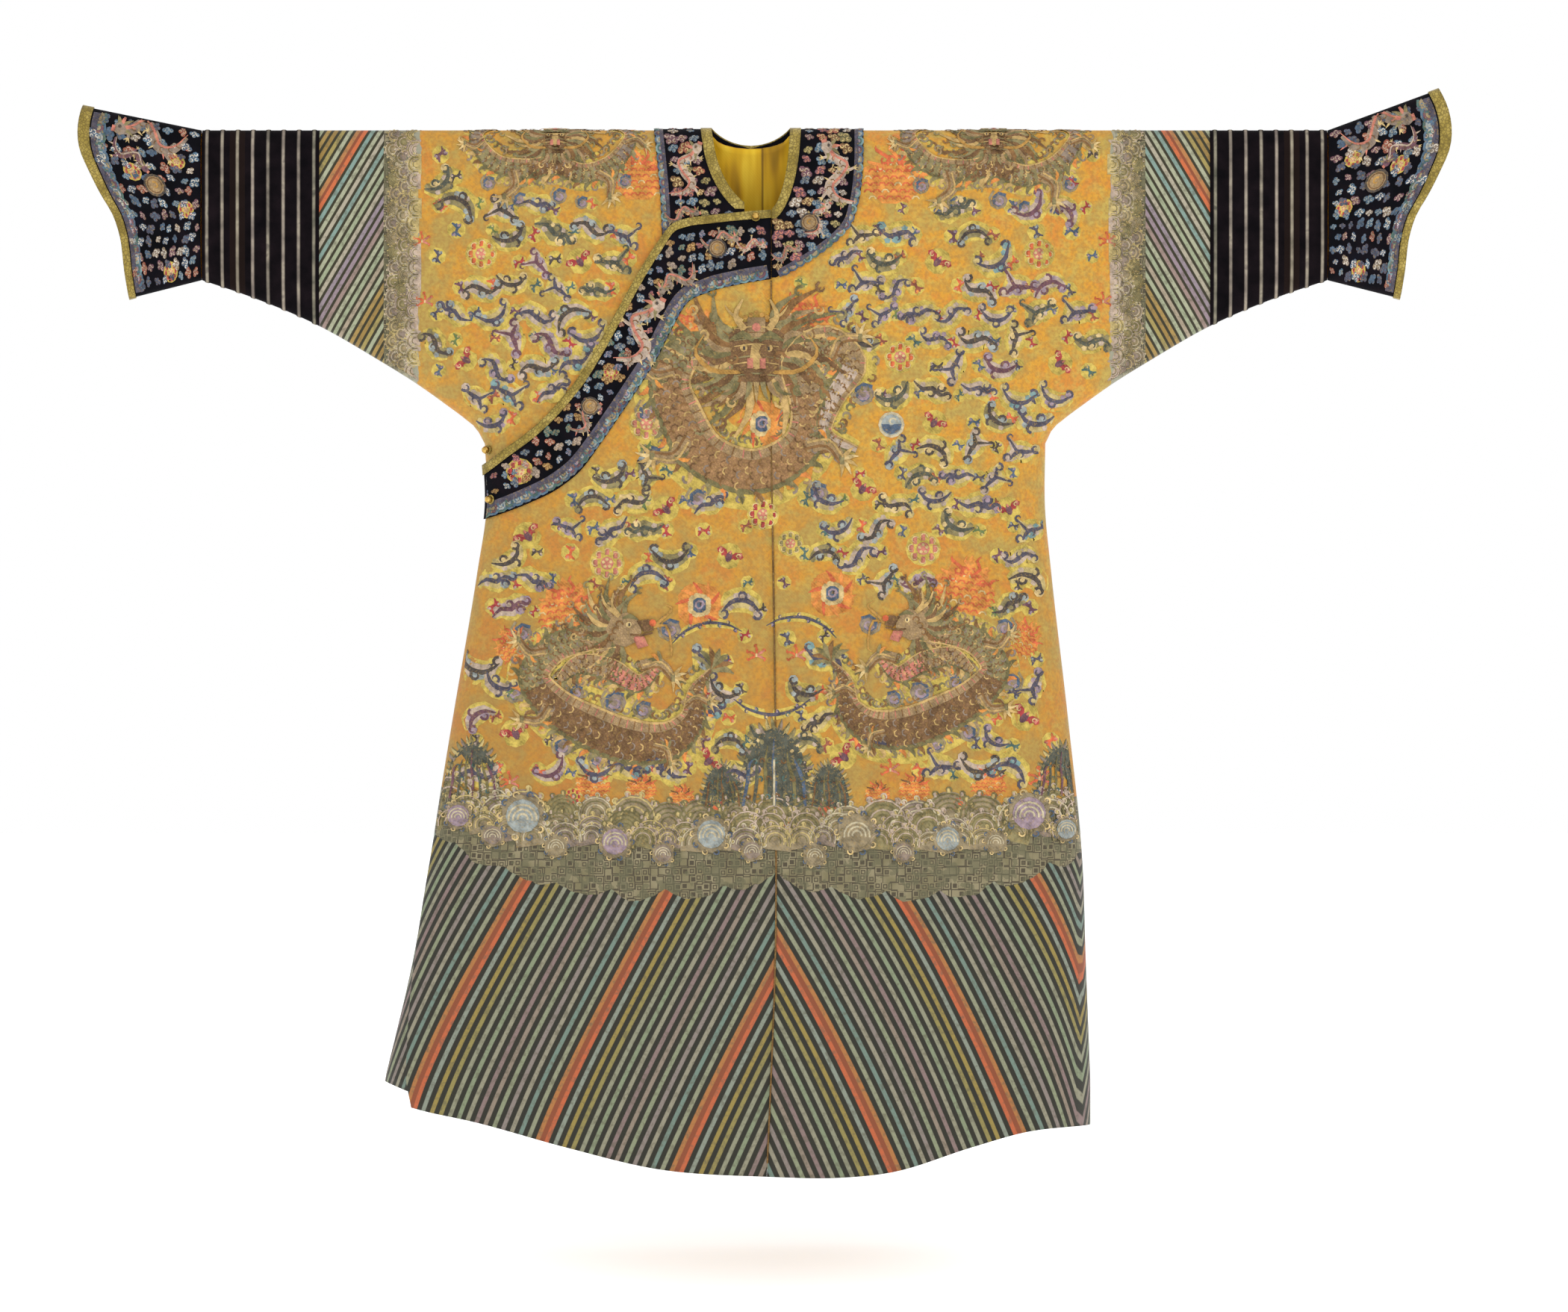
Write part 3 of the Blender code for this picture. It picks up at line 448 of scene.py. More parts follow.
def overlapColumns(drop):
    drop = np.atleast_1d(drop)
    seam = seamAcross(drop) - form["seamGap"] / 2
    columns = acrossColumns(rightHalf, drop, innerLine(rightHalf, front, drop))
    inset = smoothAt(setbackRows, 1, drop)[:, None]
    turning = columns[:, steps["neck"] + steps["flat"] + 1:]
    fromSide = halfWidth(-1, drop)[:, None] + turning
    columns[:, steps["neck"] + steps["flat"] + 1:] -= fromSide - inset - fromSide * (1 - inset / form["bodyEdge"])
    return np.concatenate((seam[:, None], ((seam + columns[:, 0]) / 2)[:, None], columns), axis=1)


def overlapEdge(across):
    return smoothAt(bandRows, 1, across)


def overlapTrim(across):
    return smoothAt(bandRows, 2, across)


def overlapPlaces(tops, feet, rows):
    shares = np.arange(rows + 1) / rows
    drop = tops[None, :] + (feet[None, :] - tops[None, :]) * shares[:, None]
    across = np.zeros_like(drop)
    for column in range(drop.shape[1]):
        across[:, column] = overlapColumns(drop[:, column])[:, column]
    return across, drop


def overlapFront():
    bm = bmesh.new()
    tops = overlapEdge(overlapColumns(form["armpitDrop"])[0])
    feet = hemDrop(overlapColumns(setbackRows[-1][0])[0])
    across, drop = overlapPlaces(tops, feet, steps["lower"] + 20)
    addGrid(bm, sheetPoints(front, across, drop), True, uSign=-1)
    moveOut(bm, overlapLevel)
    return bm


def overlapStrip(level, footAt, rows, parts=2):
    # columns lie on those of the overlap and between them
    bm = bmesh.new()
    places = overlapColumns(form["armpitDrop"])[0]
    fine = np.interp(np.arange(len(places) * parts - parts + 1) / parts, np.arange(len(places)), places)
    tops, feet = overlapEdge(fine), footAt(fine)
    shares = np.arange(rows + 1) / rows
    drop = tops[None, :] + (feet[None, :] - tops[None, :]) * shares[:, None]
    across = np.zeros_like(drop)
    for column in range(drop.shape[1]):
        low, part = divmod(column, parts)
        at = overlapColumns(np.maximum(drop[:, column], form["armpitDrop"]))
        across[:, column] = at[:, low] if not part else at[:, low] + (at[:, low + 1] - at[:, low]) * part / parts
    addGrid(bm, sheetPoints(front, across, drop), True, uSign=-1)
    moveOut(bm, lambda across, drop: overlapLevel(across, drop) + stripLevel(level, across, drop))
    return bm


def pipingFoot(across):
    slope = (overlapEdge(across + 0.003) - overlapEdge(across - 0.003)) / 0.006
    return overlapEdge(across) + 0.011 * np.hypot(1, slope)


def neckAcross(half, along, wider):
    if along > 0:
        width = form["neckLeftWidth"] if half == rightHalf else form["neckRightWidth"]
        middle, share = form["neckPoint"], along / (float(alongOf(form["neckDepth"])) + wider)
        stop = float(innerLine(half, front, dropAlong(along))) + half * form["seamGap"]
    else:
        width = (neckEdge(leftHalf) - neckEdge(rightHalf)) / 2
        middle, share, stop = neckMiddle, -along / (form["neckBackDepth"] + wider), neckMiddle
    edge = middle + half * (width + wider) * math.sqrt(max(1 - share * share, 0.0))
    return max(edge, stop) if half == leftHalf else min(edge, stop)


def collarOuter(half, along):
    if along > 0:
        return float(smoothAt(collarRows[half], 1, dropAlong(along)))
    share, squareness = min(-along / collarBack["reach"], 1.0), collarBack["squareness"]
    return neckMiddle + (collarRows[half][0][1] - neckMiddle) * (1 - share**squareness) ** (1 / squareness)


def neckRing(level, frontEnds, backEnd, innerAt, outerAt, across):
    bm = bmesh.new()
    arc, backRows, frontRows = form["foldArc"], 18, 22
    rows = [-arc - (backEnd - arc) * math.sin(math.pi / 2 * step / backRows) for step in range(backRows, 0, -1)]
    rows += [arc * step / 14 for step in range(-14, 15) if step != -10]
    rows = sorted(rows + [-form["neckBackDepth"] * share for share in (0.958, 0.985, 1.0)])
    for half in (rightHalf, leftHalf):
        run = frontEnds[half] - arc
        mine = rows + [arc + run * math.sin(math.pi / 2 * step / frontRows) for step in range(1, frontRows + 1)]
        inner = np.array([innerAt(half, along) for along in mine])[:, None]
        outer = np.array([outerAt(half, along) for along in mine])[:, None]
        places = inner + (outer - inner) * np.arange(across + 1) / across
        alongs = np.repeat(np.array(mine)[:, None], across + 1, axis=1)
        points = clothAlong(places.ravel(), alongs.ravel()).reshape(*places.shape, 3)
        addGrid(bm, points, half == rightHalf, uSign=half)
    weld(bm)
    bmesh.ops.dissolve_degenerate(bm, edges=bm.edges, dist=0.00005)
    moveOut(bm, level)
    return bm


def collarBand():
    ends = {rightHalf: float(alongOf(0.15)), leftHalf: float(alongOf(0.201))}
    return neckRing(
        layers["onPanel"], ends, 0.1175, lambda half, along: neckAcross(half, along, 0.001), collarOuter, 8)


def neckBinding():
    ends = {rightHalf: float(alongOf(0.108)), leftHalf: float(alongOf(0.121))}
    backEnd = form["neckBackDepth"] + 0.0145
    return neckRing(layers["onBand"], ends, backEnd, lambda half, along: neckAcross(half, along, 0.0),
                    lambda half, along: neckAcross(half, along, 0.015), 3)


liningPlan = {"right": -0.115, "left": 0.095, "top": 0.014, "foot": 0.26, "columns": 24, "rows": 28, "inside": 0.0019}


def backLining():
    bm = bmesh.new()
    across = np.linspace(liningPlan["right"], liningPlan["left"], liningPlan["columns"] + 1)
    tops = np.maximum(alongOf(necklineDrop(back, across)) + form["neckSetback"], liningPlan["top"])
    shares = np.arange(liningPlan["rows"] + 1)[:, None] / liningPlan["rows"]
    alongs = -(tops[None, :] + (liningPlan["foot"] - tops[None, :]) * shares)
    places = np.repeat(across[None, :], liningPlan["rows"] + 1, axis=0)
    addGrid(bm, clothAlong(places.ravel(), alongs.ravel()).reshape(*places.shape, 3), True)
    moveOut(bm, -liningPlan["inside"])
    return bm


ribPlan = {"count": 8, "height": 0.0012, "halfWidth": 0.0035, "margin": 0.007}


def ribCrests():
    start, end = form["sleeveSeam"] + form["seamGap"] / 2, form["cuffSeam"] - form["seamGap"] / 2
    pitch = (end - start - 2 * ribPlan["margin"]) / (ribPlan["count"] - 1)
    return start, end, [start + ribPlan["margin"] + rib * pitch for rib in range(ribPlan["count"])]


def sleeveExtension(half):
    bm = bmesh.new()
    start, end, crests = ribCrests()
    ribs = [crest + ribPlan["halfWidth"] * share for crest in crests for share in (-1, -0.5, 0, 0.5, 1)]
    reach = np.array([start] + ribs + [end])
    for face in (front, back):
        addTube(bm, half, face, reach, underarmDrop(reach))
    weld(bm)

    def ribLevel(across, drop):
        nearest = np.min([np.abs(np.abs(across) - crest) for crest in crests], axis=0)
        return ribPlan["height"] * np.sqrt(1 - np.clip(nearest / ribPlan["halfWidth"], 0, 1) ** 2)

    moveOut(bm, ribLevel)
    return bm


def cuffPoints(half, face, share, level):
    # share runs from the seam to the open edge, level from the top fold to the underside
    start = form["cuffSeam"] + form["cuffJoin"]
    rise, foot = cuffTipRise[half], float(underarmDrop(start))
    edgeDrop = -rise + (form["cuffFoot"] + rise) * level
    edgeAcross = smoothAt(cuffRows, 1, edgeDrop)
    across, drop = start + (edgeAcross - start) * share, foot * level + (edgeDrop - foot * level) * share
    height = foot + (form["cuffFoot"] + rise - foot) * share
    depth = form["sleeveDepth"] + (form["cuffDepth"] - form["sleeveDepth"]) * share
    rounded = roundOver(level * foot / form["foldDrop"]) * roundOver((1 - level) * height / form["sleeveEdge"])
    rounded = np.where((level <= 0) | (level >= 1), 0.0, rounded)
    return np.stack((half * across, face * depth * rounded, -drop), axis=-1)


def cuffSheet(half, starts, columns, level):
    bm = bmesh.new()
    foot = float(underarmDrop(form["cuffSeam"]))
    levels = upperRows(foot, form["sleeveEdge"]) / foot
    levels[0], levels[-1] = 0, 1
    for face in (front, back):
        share, down = np.meshgrid(starts + (1 - starts) * np.arange(columns + 1) / columns, levels)
        addGrid(bm, cuffPoints(half, face, share, down), half * face == 1, uStart=half * form["cuffSeam"], uSign=half)
    weld(bm)
    if level:
        moveOut(bm, level)
    return bm


def sewn(name, bm, wall, silks, node):
    # a piece of cloth from an open sheet, its wall added outside the sheet
    mesh = bpy.data.meshes.new(name)
    bm.to_mesh(mesh)
    bm.free()
    mesh.shade_smooth()
    piece = added(name, mesh)
    for silk in silks:
        mesh.materials.append(silk)
    shell = piece.modifiers.new("wall", "SOLIDIFY")
    shell.thickness, shell.offset = wall, 1.0
    shell.material_offset = len(silks) - 1
    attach(piece, "root")
    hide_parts(node)


# The yellow ground: dyes from the olive of aged patches to orange, a low tone for painted shade, and mottles as
# scale, detail and roughness
silkGround = {
    "dyes": ((0.39, "#B0964C"), (0.46, "#C0903C"), (0.53, "#D29730"), (0.62, "#CE8634")),
    "low": "#946A36", "faded": "#C2A850", "slub": "#9E7438",
    "mottles": (
        (20.0, 4.0, 0.6), (62.0, 4.0, 0.7), (230.0, 3.0, 0.5), (34.0, 2.0, 0.5), (70.0, 3.0, 0.5), (120.0, 3.0, 0.7)),
}
waveGround = {"strokes": ((0.38, "#7A7253"), (0.62, "#908668")), "moss": "#626047", "ink": "#4E4636", "cell": 0.0105,
              "top": 0.902, "foot": 0.999, "lobe": 0.013, "lobeTurn": 42.0}
hemStripes = {"pitch": 0.0136, "slope": 0.57, "rightSlope": 0.09, "bend": 0.22, "dark": 0.54, "ink": "#2C2B22",
              "leftStart": 0.905, "rightStart": 0.89, "rust": "#86492F", "worn": "#5A5544"}
sleeveEnd = {"waves": 0.461, "stripes": 0.518, "under": 0.45, "pitch": 0.01, "slope": 0.59, "start": 0.182,
             "dark": 0.42, "ink": "#33301F", "lip": "#A3A18C"}
# One round of the diagonal stripes, inwards to outwards
stripeOrder = ("#B8603C", "#A8703F", "#8B8D73", "#6F8276", "#8F8A76", "#857A73", "#868C70", "#8B7D6E", "#84706C",
               "#8D8A74", "#808A6E", "#8A8A73", "#8C814C", "#928044", "#848B7D")
sleeveOrder = ("#C4683F", "#B07848", "#A3A58A", "#9C8C52", "#94783F", "#A0844A", "#9EA386", "#9C8C52", "#94783F",
               "#A0844A", "#9EA386", "#A2947F", "#98A082", "#A3A58A", "#968078", "#928088", "#90828A", "#A8A08C",
               "#98A082", "#A3A58A", "#7E968C", "#A8A08C", "#A3A58A", "#7E968C")
# settings that many nodes share
plus, minus, times, over, timesPlus, unsigned, fraction, above = (
    {"operation": name} for name in
    ("ADD", "SUBTRACT", "MULTIPLY", "DIVIDE", "MULTIPLY_ADD", "ABSOLUTE", "FRACT", "GREATER_THAN"))
inColour, smooth = {"data_type": "RGBA", "output": 2}, {"interpolation_type": "SMOOTHSTEP"}


def silkMaterial(name, roughness=0.5, sheen=0.03, specular=0.25, metallic=0.0):
    material = bpy.data.materials.new(name)
    material.use_nodes = True
    shader = material.node_tree.nodes["Principled BSDF"]
    feed(shader, {"Roughness": roughness, "Sheen Weight": sheen, "Sheen Roughness": 0.45,
                  "Specular IOR Level": specular, "Metallic": metallic})
    return material, shader, functools.partial(addNode, material.node_tree)


def weaveBump(add, vector, threadMm, depth=0.00025, strength=0.35):
    # satin weave: fine threads across, drawn at about twice their real width so that they show
    thread = add("TexWave", {"Vector": vector, "Scale": 1000 / threadMm / 6.28, "Distortion": 1.5, "Detail": 1.0,
                             "Detail Scale": 2.0}, wave_type="BANDS", bands_direction="DIAGONAL", output=1)
    slub = add("TexNoise", {"Vector": vector, "Scale": 140.0, "Detail": 3.0})
    height = add("Math", (slub, 0.8, thread), **timesPlus)
    return add("Bump", {"Height": height, "Strength": strength, "Distance": depth})


def stripeColour(add, place, plan, order, worn):
    # place in metres across the stripes
    count, half = len(order), 0.5 - plan["dark"] / 2
    turn = add("Math", (add("Math", (place, plan["pitch"] * count), **over),), **fraction)
    stops = [(index / count, code) for index, code in enumerate(order)]
    colour = add("ValToRGB", (turn,), stops=stops, sharp=True)
    within = add("Math", (add("Math", (place, plan["pitch"]), **over),), **fraction)
    edge = add("Math", (add("Math", (within, 0.5), **minus),), **unsigned)
    line = add("MapRange", (edge, half - 0.05, half + 0.05, 0.0, 1.0), **smooth)
    second = add("Math", (add("Math", (turn, count), **times), 1.0, 0.5), operation="COMPARE")
    dark = add("Mix", {0: second, 6: plan["ink"], 7: hemStripes["rust"]}, **inColour)
    share = add("Math", (worn, 0.55), **times)
    colour = add("Mix", {0: share, 6: colour, 7: hemStripes["worn"]}, **inColour)
    return add("Mix", {0: line, 6: colour, 7: dark}, **inColour)


def silkOutside():
    # Embroidered silk satin, woven and hand sewn: deep yellow ground, wave band and diagonal water stripes.
    # Gives the eye a soft low gloss with patches where the dye has aged, and painted shade towards the hem and on the
    # wearer's right.
    material, shader, add = silkMaterial("yellow silk satin, embroidered", 0.52)
    uv, place = add("UVMap"), add("TexCoord", output=3)
    flat, spot = add("SeparateXYZ", (uv,), output=None), add("SeparateXYZ", (place,), output=None)
    out, reach = (add("Math", (side,), **unsigned) for side in (flat[0], spot[0]))
    drop, down = (add("Math", (height, -1.0), **times) for height in (flat[1], spot[2]))
    shade, faded, fine, wobble, wash, fray = (
        add("TexNoise", {"Vector": place, "Scale": scale, "Detail": detail, "Roughness": rough})
        for scale, detail, rough in silkGround["mottles"])
    ground = add("ValToRGB", (shade,), stops=silkGround["dyes"])
    for mottle, low, high, most, dye in ((faded, 0.46, 0.66, 0.75, "faded"), (fine, 0.42, 0.64, 0.5, "slub")):
        share = add("MapRange", (mottle, low, high, 0.0, most))
        ground = add("Mix", {0: share, 6: ground, 7: silkGround[dye]}, **inColour)
    # painted shade: the ground is darkened towards the hem and on the wearer's right, where less light falls
    hemShade = add("MapRange", (drop, 0.3, 0.9, 0.0, 0.36), **smooth)
    sideShade = add("MapRange", (spot[0], 0.16, -0.3, 0.0, 0.16), **smooth)
    share = add("Math", (hemShade, sideShade), **plus)
    ground = add("Mix", {0: share, 6: ground, 7: silkGround["low"]}, **inColour)

    # waves: a fret of short strokes
    cells = {"Vector": uv, "Scale": 1 / waveGround["cell"], "Randomness": 0.4}
    squares = add("TexVoronoi", cells, distance="CHEBYCHEV")
    rings = add("Math", (add("Math", (squares, 3.6), **times),), **fraction)
    line = add("MapRange", (rings, 0.45, 0.62, 0.0, 1.0), **smooth)
    tint = add("ValToRGB", (wobble,), stops=waveGround["strokes"])
    strokes = add("Mix", {0: line, 6: tint, 7: waveGround["ink"]}, **inColour)
    share = add("Math", (add("Math", (wash, 0.52), **above), 0.6), **times)
    strokes = add("Mix", {0: share, 6: strokes, 7: waveGround["moss"]}, **inColour)
    darker = add("Mix", {0: 0.06, 6: strokes, 7: waveGround["ink"]}, **inColour)
    square = add("Math", (out, out), **times)
    across, bent = (add("Math", (a, b), **times) for a, b in ((out, 0.3), (square, 0.88)))
    bow = add("Math", (across, bent), **minus)
    top = add("Math", (add("Math", (bow, 0.35), **times), waveGround["top"]), **plus)
    top = add("Math", (top, add("Math", (wobble, 0.03), **times)), **plus)
    wave = add("Math", (add("Math", (out, waveGround["lobeTurn"]), **times),), operation="SINE")
    lobes = add("Math", (add("Math", (wave,), **unsigned), waveGround["lobe"]), **times)  # wave tips
    ragged = add("Math", (wobble, 0.018, lobes), **timesPlus)
    foot = add("Math", (add("Math", (bow, waveGround["foot"]), **plus), ragged), **plus)

    # hem stripes
    fall = add("Math", (drop, 1.0), **minus)
    onRight = add("Math", (flat[0], 0.0), **above)
    slope = add("Math", (onRight, hemStripes["rightSlope"], hemStripes["slope"]), **timesPlus)
    straight = add("Math", (fall, slope), **times)
    bent = add("Math", (add("Math", (fall, fall), **times), hemStripes["bend"]), **times)
    lean = add("Math", (straight, bent), **minus)
    further = hemStripes["rightStart"] - hemStripes["leftStart"]
    start = add("Math", (onRight, further, hemStripes["leftStart"]), **timesPlus)
    along = add("Math", (add("Math", (out, lean), **minus), start), **plus)
    fray = add("MapRange", (fray, 0.48, 0.66, 0.0, 1.0))
    body = ground
    for edge, cloth in ((top, darker), (foot, stripeColour(add, along, hemStripes, stripeOrder, fray))):
        below = add("Math", (drop, edge), **above)
        body = add("Mix", {0: below, 6: body, 7: cloth}, **inColour)

    # sleeve ends
    lean = add("Math", (down, -sleeveEnd["slope"]), **times)
    along = add("Math", (add("Math", (reach, lean), **plus), sleeveEnd["start"]), **plus)
    start = add("Math", (add("Math", (wobble, 0.02), **times), sleeveEnd["waves"]), **plus)
    past = add("Math", (reach, start), **minus)
    lip = add("MapRange", (past, 0.004, 0.03, 0.75, 0.0))
    sleeve = add("Mix", {0: lip, 6: strokes, 7: sleeveEnd["lip"]}, **inColour)
    striped = add("Math", (reach, sleeveEnd["stripes"]), **above)
    stripes = stripeColour(add, along, sleeveEnd, sleeveOrder, fray)
    sleeve = add("Mix", {0: striped, 6: sleeve, 7: stripes}, **inColour)
    beyond = add("Math", (reach, start), **above)
    high = add("Math", (down, sleeveEnd["under"]), operation="LESS_THAN")
    onSleeve = add("Math", (beyond, high), **times)
    body = add("Mix", {0: onSleeve, 6: body, 7: sleeve}, **inColour)
    feed(shader, {"Base Color": body, "Normal": weaveBump(add, place, 1.1)})
    return material


def liningSilk():
    # Plain silk tabby lining, dyed golden yellow, with a faint crosswise slub and painted light and shade of soft
    # folds that run down it.
    material, shader, add = silkMaterial("golden silk lining", 0.46)
    place = add("TexCoord", output=3)
    # painted light and shade: the colour is streaked down the lining like the shading of soft folds
    foldShadeSpace = add("Mapping", {"Vector": place, "Scale": (1.0, 0.3, 0.16)})  # soft folds run down it
    shade = add("TexNoise", {"Vector": foldShadeSpace, "Scale": 44.0, "Detail": 2.0})
    stops = ((0.34, "#9A7408"), (0.46, "#C8980C"), (0.56, "#E4B414"), (0.68, "#F4CC30"))
    colour = add("ValToRGB", (shade,), stops=stops)
    spot = add("SeparateXYZ", (place,), output=None)
    seam = add("Math", (spot[0], form["backSeam"] + 0.001, 0.0014), operation="COMPARE")
    colour = add("Mix", {0: add("Math", (seam, 0.7), **times), 6: colour, 7: "#6E4E08"}, **inColour)
    feed(shader, {"Base Color": colour, "Normal": weaveBump(add, place, 1.0, 0.0002, 0.25)})
    return material


def blackSilk():
    # Black silk with couched metal lines at its ribs: a dark, slightly bloomed ground and dull gold threads.
    material, shader, add = silkMaterial("black ribbed silk", 0.8, 0.0, 0.06)
    place = add("TexCoord", output=3)
    reach = add("Math", (add("SeparateXYZ", (place,)),), **unsigned)
    crests = ribCrests()[2]
    pitch = crests[1] - crests[0]
    past = add("Math", (reach, crests[0] - pitch * 20.5), **minus)  # counted from well inside the sleeve
    turn = add("Math", (past, pitch), **over)
    within = add("Math", (add("Math", (turn,), **fraction), 0.5), **minus)
    line = add("MapRange", (add("Math", (within,), **unsigned), 0.035, 0.145, 1.0, 0.0), **smooth)
    shade = add("TexNoise", {"Vector": place, "Scale": 42.0, "Detail": 3.0})
    rib = add("Math", (turn,), operation="FLOOR")
    which = add("TexWhiteNoise", {"W": rib}, noise_dimensions="1D")
    metal, tint, ground = (add("ValToRGB", (share,), stops=stops) for share, stops in (
        (shade, ((0.34, "#3E382F"), (0.5, "#83796A"), (0.62, "#A89E88"), (0.7, "#5E574C"))),
        (which, ((0.1, "#5E6256"), (0.4, "#A0928A"), (0.7, "#66626A"), (0.9, "#B4A884"))),
        (shade, ((0.3, "#060407"), (0.6, "#120C10"), (0.8, "#1A1216")))))
    metal = add("Mix", {0: 0.45, 6: metal, 7: tint}, **inColour)
    browned = add("Math", (add("Math", (which, 0.55), **above), 0.5), **times)
    ground = add("Mix", {0: browned, 6: ground, 7: "#241812"}, **inColour)
    colour = add("Mix", {0: line, 6: ground, 7: metal}, **inColour)
    feed(shader, {"Base Color": colour, "Normal": weaveBump(add, place, 1.2, 0.0002, 0.3)})
    return material


def navySilk():
    # Midnight blue silk satin that has faded towards plum: the ground of the collar, band and cuffs.
    material, shader, add = silkMaterial("midnight silk satin", 0.75, 0.0, 0.08)
    place = add("TexCoord", output=3)
    shade = add("TexNoise", {"Vector": place, "Scale": 30.0, "Detail": 4.0})
    stops = ((0.32, "#030306"), (0.48, "#07070E"), (0.6, "#100A10"), (0.74, "#0A0E1A"))
    colour = add("ValToRGB", (shade,), stops=stops)
    feed(shader, {"Base Color": colour, "Normal": weaveBump(add, place, 1.1)})
    return material


def goldBrocade():
    # Brocade of gilt-paper thread on silk, loom woven: a small lattice that glints along its threads.
    material, shader, add = silkMaterial("gold brocade", 0.42, 0.05, metallic=0.35)
    place = add("TexCoord", output=3)
    lattice = add("TexVoronoi", {"Vector": place, "Scale": 230.0}, feature="DISTANCE_TO_EDGE")
    line = add("MapRange", (lattice, 0.05, 0.16, 1.0, 0.0))
    shade = add("TexNoise", {"Vector": place, "Scale": 60.0, "Detail": 3.0})
    gold = add("ValToRGB", (shade,), stops=((0.3, "#857230"), (0.5, "#A38E44"), (0.7, "#BBA65C")))
    colour = add("Mix", {0: add("Math", (line, 0.75), **times), 6: gold, 7: "#6A5A2C"}, **inColour)
    bump = add("Bump", {"Height": lattice, "Strength": 0.5, "Distance": 0.0004})
    feed(shader, {"Base Color": colour, "Normal": bump})
    return material


def giltBrass():
    # Gilt brass ball, cast and burnished, worn to a warm dull shine.
    material, shader, add = silkMaterial("worn gilt brass", 0.34, 0.0, metallic=1.0)
    shade = add("TexNoise", {"Vector": add("TexCoord", output=3), "Scale": 320.0, "Detail": 4.0})
    colour = add("ValToRGB", (shade,), stops=((0.35, "#A8823A"), (0.6, "#D8B466")))
    bump = add("Bump", {"Height": shade, "Strength": 0.3, "Distance": 0.0003})
    feed(shader, {"Base Color": colour, "Normal": bump})
    return material


# Floss silk and couched metal threads for the embroidery: sRGB colour, metallic share, size of its scales in mm
threads = {
    "navy": ("#484452", 0), "slate": ("#46566A", 0), "sky": ("#8E9490", 0), "teal": ("#44605A", 0),
    "green": ("#5F7040", 0), "sage": ("#80754E", 0), "lilac": ("#937F88", 0), "plum": ("#63404A", 0),
    "red": ("#9E3434", 0), "rose": ("#BC7260", 0), "coral": ("#C45C34", 0), "orange": ("#CE7E3A", 0),
    "gold": ("#AE8340", 0.3), "tan": ("#785838", 0.15, 4.2), "umber": ("#6B4C2C", 0.1), "cream": ("#C8AE78", 0.1),
    "white": ("#B6AA8C", 0), "ink": ("#453C36", 0), "pearl": ("#9E825C", 0.1, 3.6), "aqua": ("#6E8C8C", 0),
    "seam": ("#6A4C20", 0), "moss": ("#6A623C", 0), "halo": ("#BCA44A", 0), "ember": ("#CC8438", 0),
    "mist": ("#8A7B5E", 0), "haze": ("#827264", 0), "deep": ("#4A4C40", 0), "bark": ("#7C5830", 0.1),
    "blueDab": ("#466074", 0), "straw": ("#B8985E", 0.1), "frost": ("#D0C8BA", 0), "bronze": ("#98724A", 0.12, 4.2),
    "russet": ("#8A4A38", 0), "fern": ("#B4A068", 0), "dove": ("#AE9A88", 0),
}
threadNames = list(threads)


def threadSets(words):
    return [tuple(names.split()) for names in words.split(", ")]


def flossMaterial(name, code, metallic, scaleMm=0):
    # Floss silk in satin stitch, or couched gilt thread: close parallel stitches that catch the light,
    # worn so that the yellow ground shows between them. A scale size draws the thread laid round small scales.
    material, shader, add = silkMaterial(name + " floss", 0.48, metallic=metallic)
    place = add("TexCoord", output=3)
    stitch = add("TexWave", {"Vector": place, "Scale": 130.0, "Distortion": 2.0, "Detail": 2.0, "Detail Scale": 1.5},
                 bands_direction="DIAGONAL", output=1)
    shade, worn = (add("TexNoise", {"Vector": place, "Scale": scale, "Detail": 3.0, "Roughness": 0.7})
                   for scale in (90.0, 300.0))
    colour = hexColour(code)
    dark = tuple(channel * 0.58 for channel in colour[:3]) + (1.0,)
    light = tuple(min(channel * 1.3 + 0.01, 1) for channel in colour[:3]) + (1.0,)
    mixed = add("ValToRGB", (shade,), stops=((0.36, dark), (0.64, light)))
    mixed = add("Mix", {0: add("Math", (stitch, 0.22), **times), 6: mixed, 7: light}, **inColour)
    if scaleMm:
        rim = add("TexVoronoi", {"Vector": place, "Scale": 1000 / scaleMm}, feature="DISTANCE_TO_EDGE")
        edge = add("MapRange", (rim, 0.04, 0.16, 0.55, 0.0))
        mixed = add("Mix", {0: edge, 6: mixed, 7: dark}, **inColour)
    gaps = add("MapRange", (worn, 0.54, 0.68, 0.0, 0.55))
    mixed = add("Mix", {0: gaps, 6: mixed, 7: "#A98A4A"}, **inColour)
    bump = add("Bump", {"Height": stitch, "Strength": 0.4, "Distance": 0.0003})
    feed(shader, {"Base Color": mixed, "Normal": bump})
    return material


flosses = [flossMaterial(name, *threads[name]) for name in threadNames]
yellowSilk, lining, black, navy, brocade, brass = (
    make() for make in (silkOutside, liningSilk, blackSilk, navySilk, goldBrocade, giltBrass))
print("materials made")

# the cut and sewn pieces: the open sheet, its wall, silks, node, cut and area
panel, band = layers["panel"], layers["band"]
for name, bm, cut, area, node in (("right_half", bodyHalf(rightHalf), (0.62, 2.86), 1.36, "body_half_right"),
                                  ("left_half", bodyHalf(leftHalf), (0.61, 2.86), 1.3, "body_half_left"),
                                  ("outer_front", overlapFront(), (0.53, 1.28), 0.55, "overlap_front")):
    sewn(name, bm, panel, [yellowSilk, lining], node)
for half, side in ((rightHalf, "right"), (leftHalf, "left")):
    sewn("ribbed_sleeve_" + side, sleeveExtension(half), panel, [black, lining],
         "sleeve_extension_" + side)
    sewn("hoof_cuff_piece_" + side, cuffSheet(half, 0.0, 16, 0.0), panel, [navy, lining],
         "hoof_cuff_" + side)
    sewn("cuff_edge_" + side, cuffSheet(half, 0.905, 2, layers["onPanel"]), band, [brocade],
         "cuff_binding_" + side)
sewn("collar_piece", collarBand(), band, [navy], "collar_band")
sewn("neck_edge", neckBinding(), band, [brocade], "neck_binding")
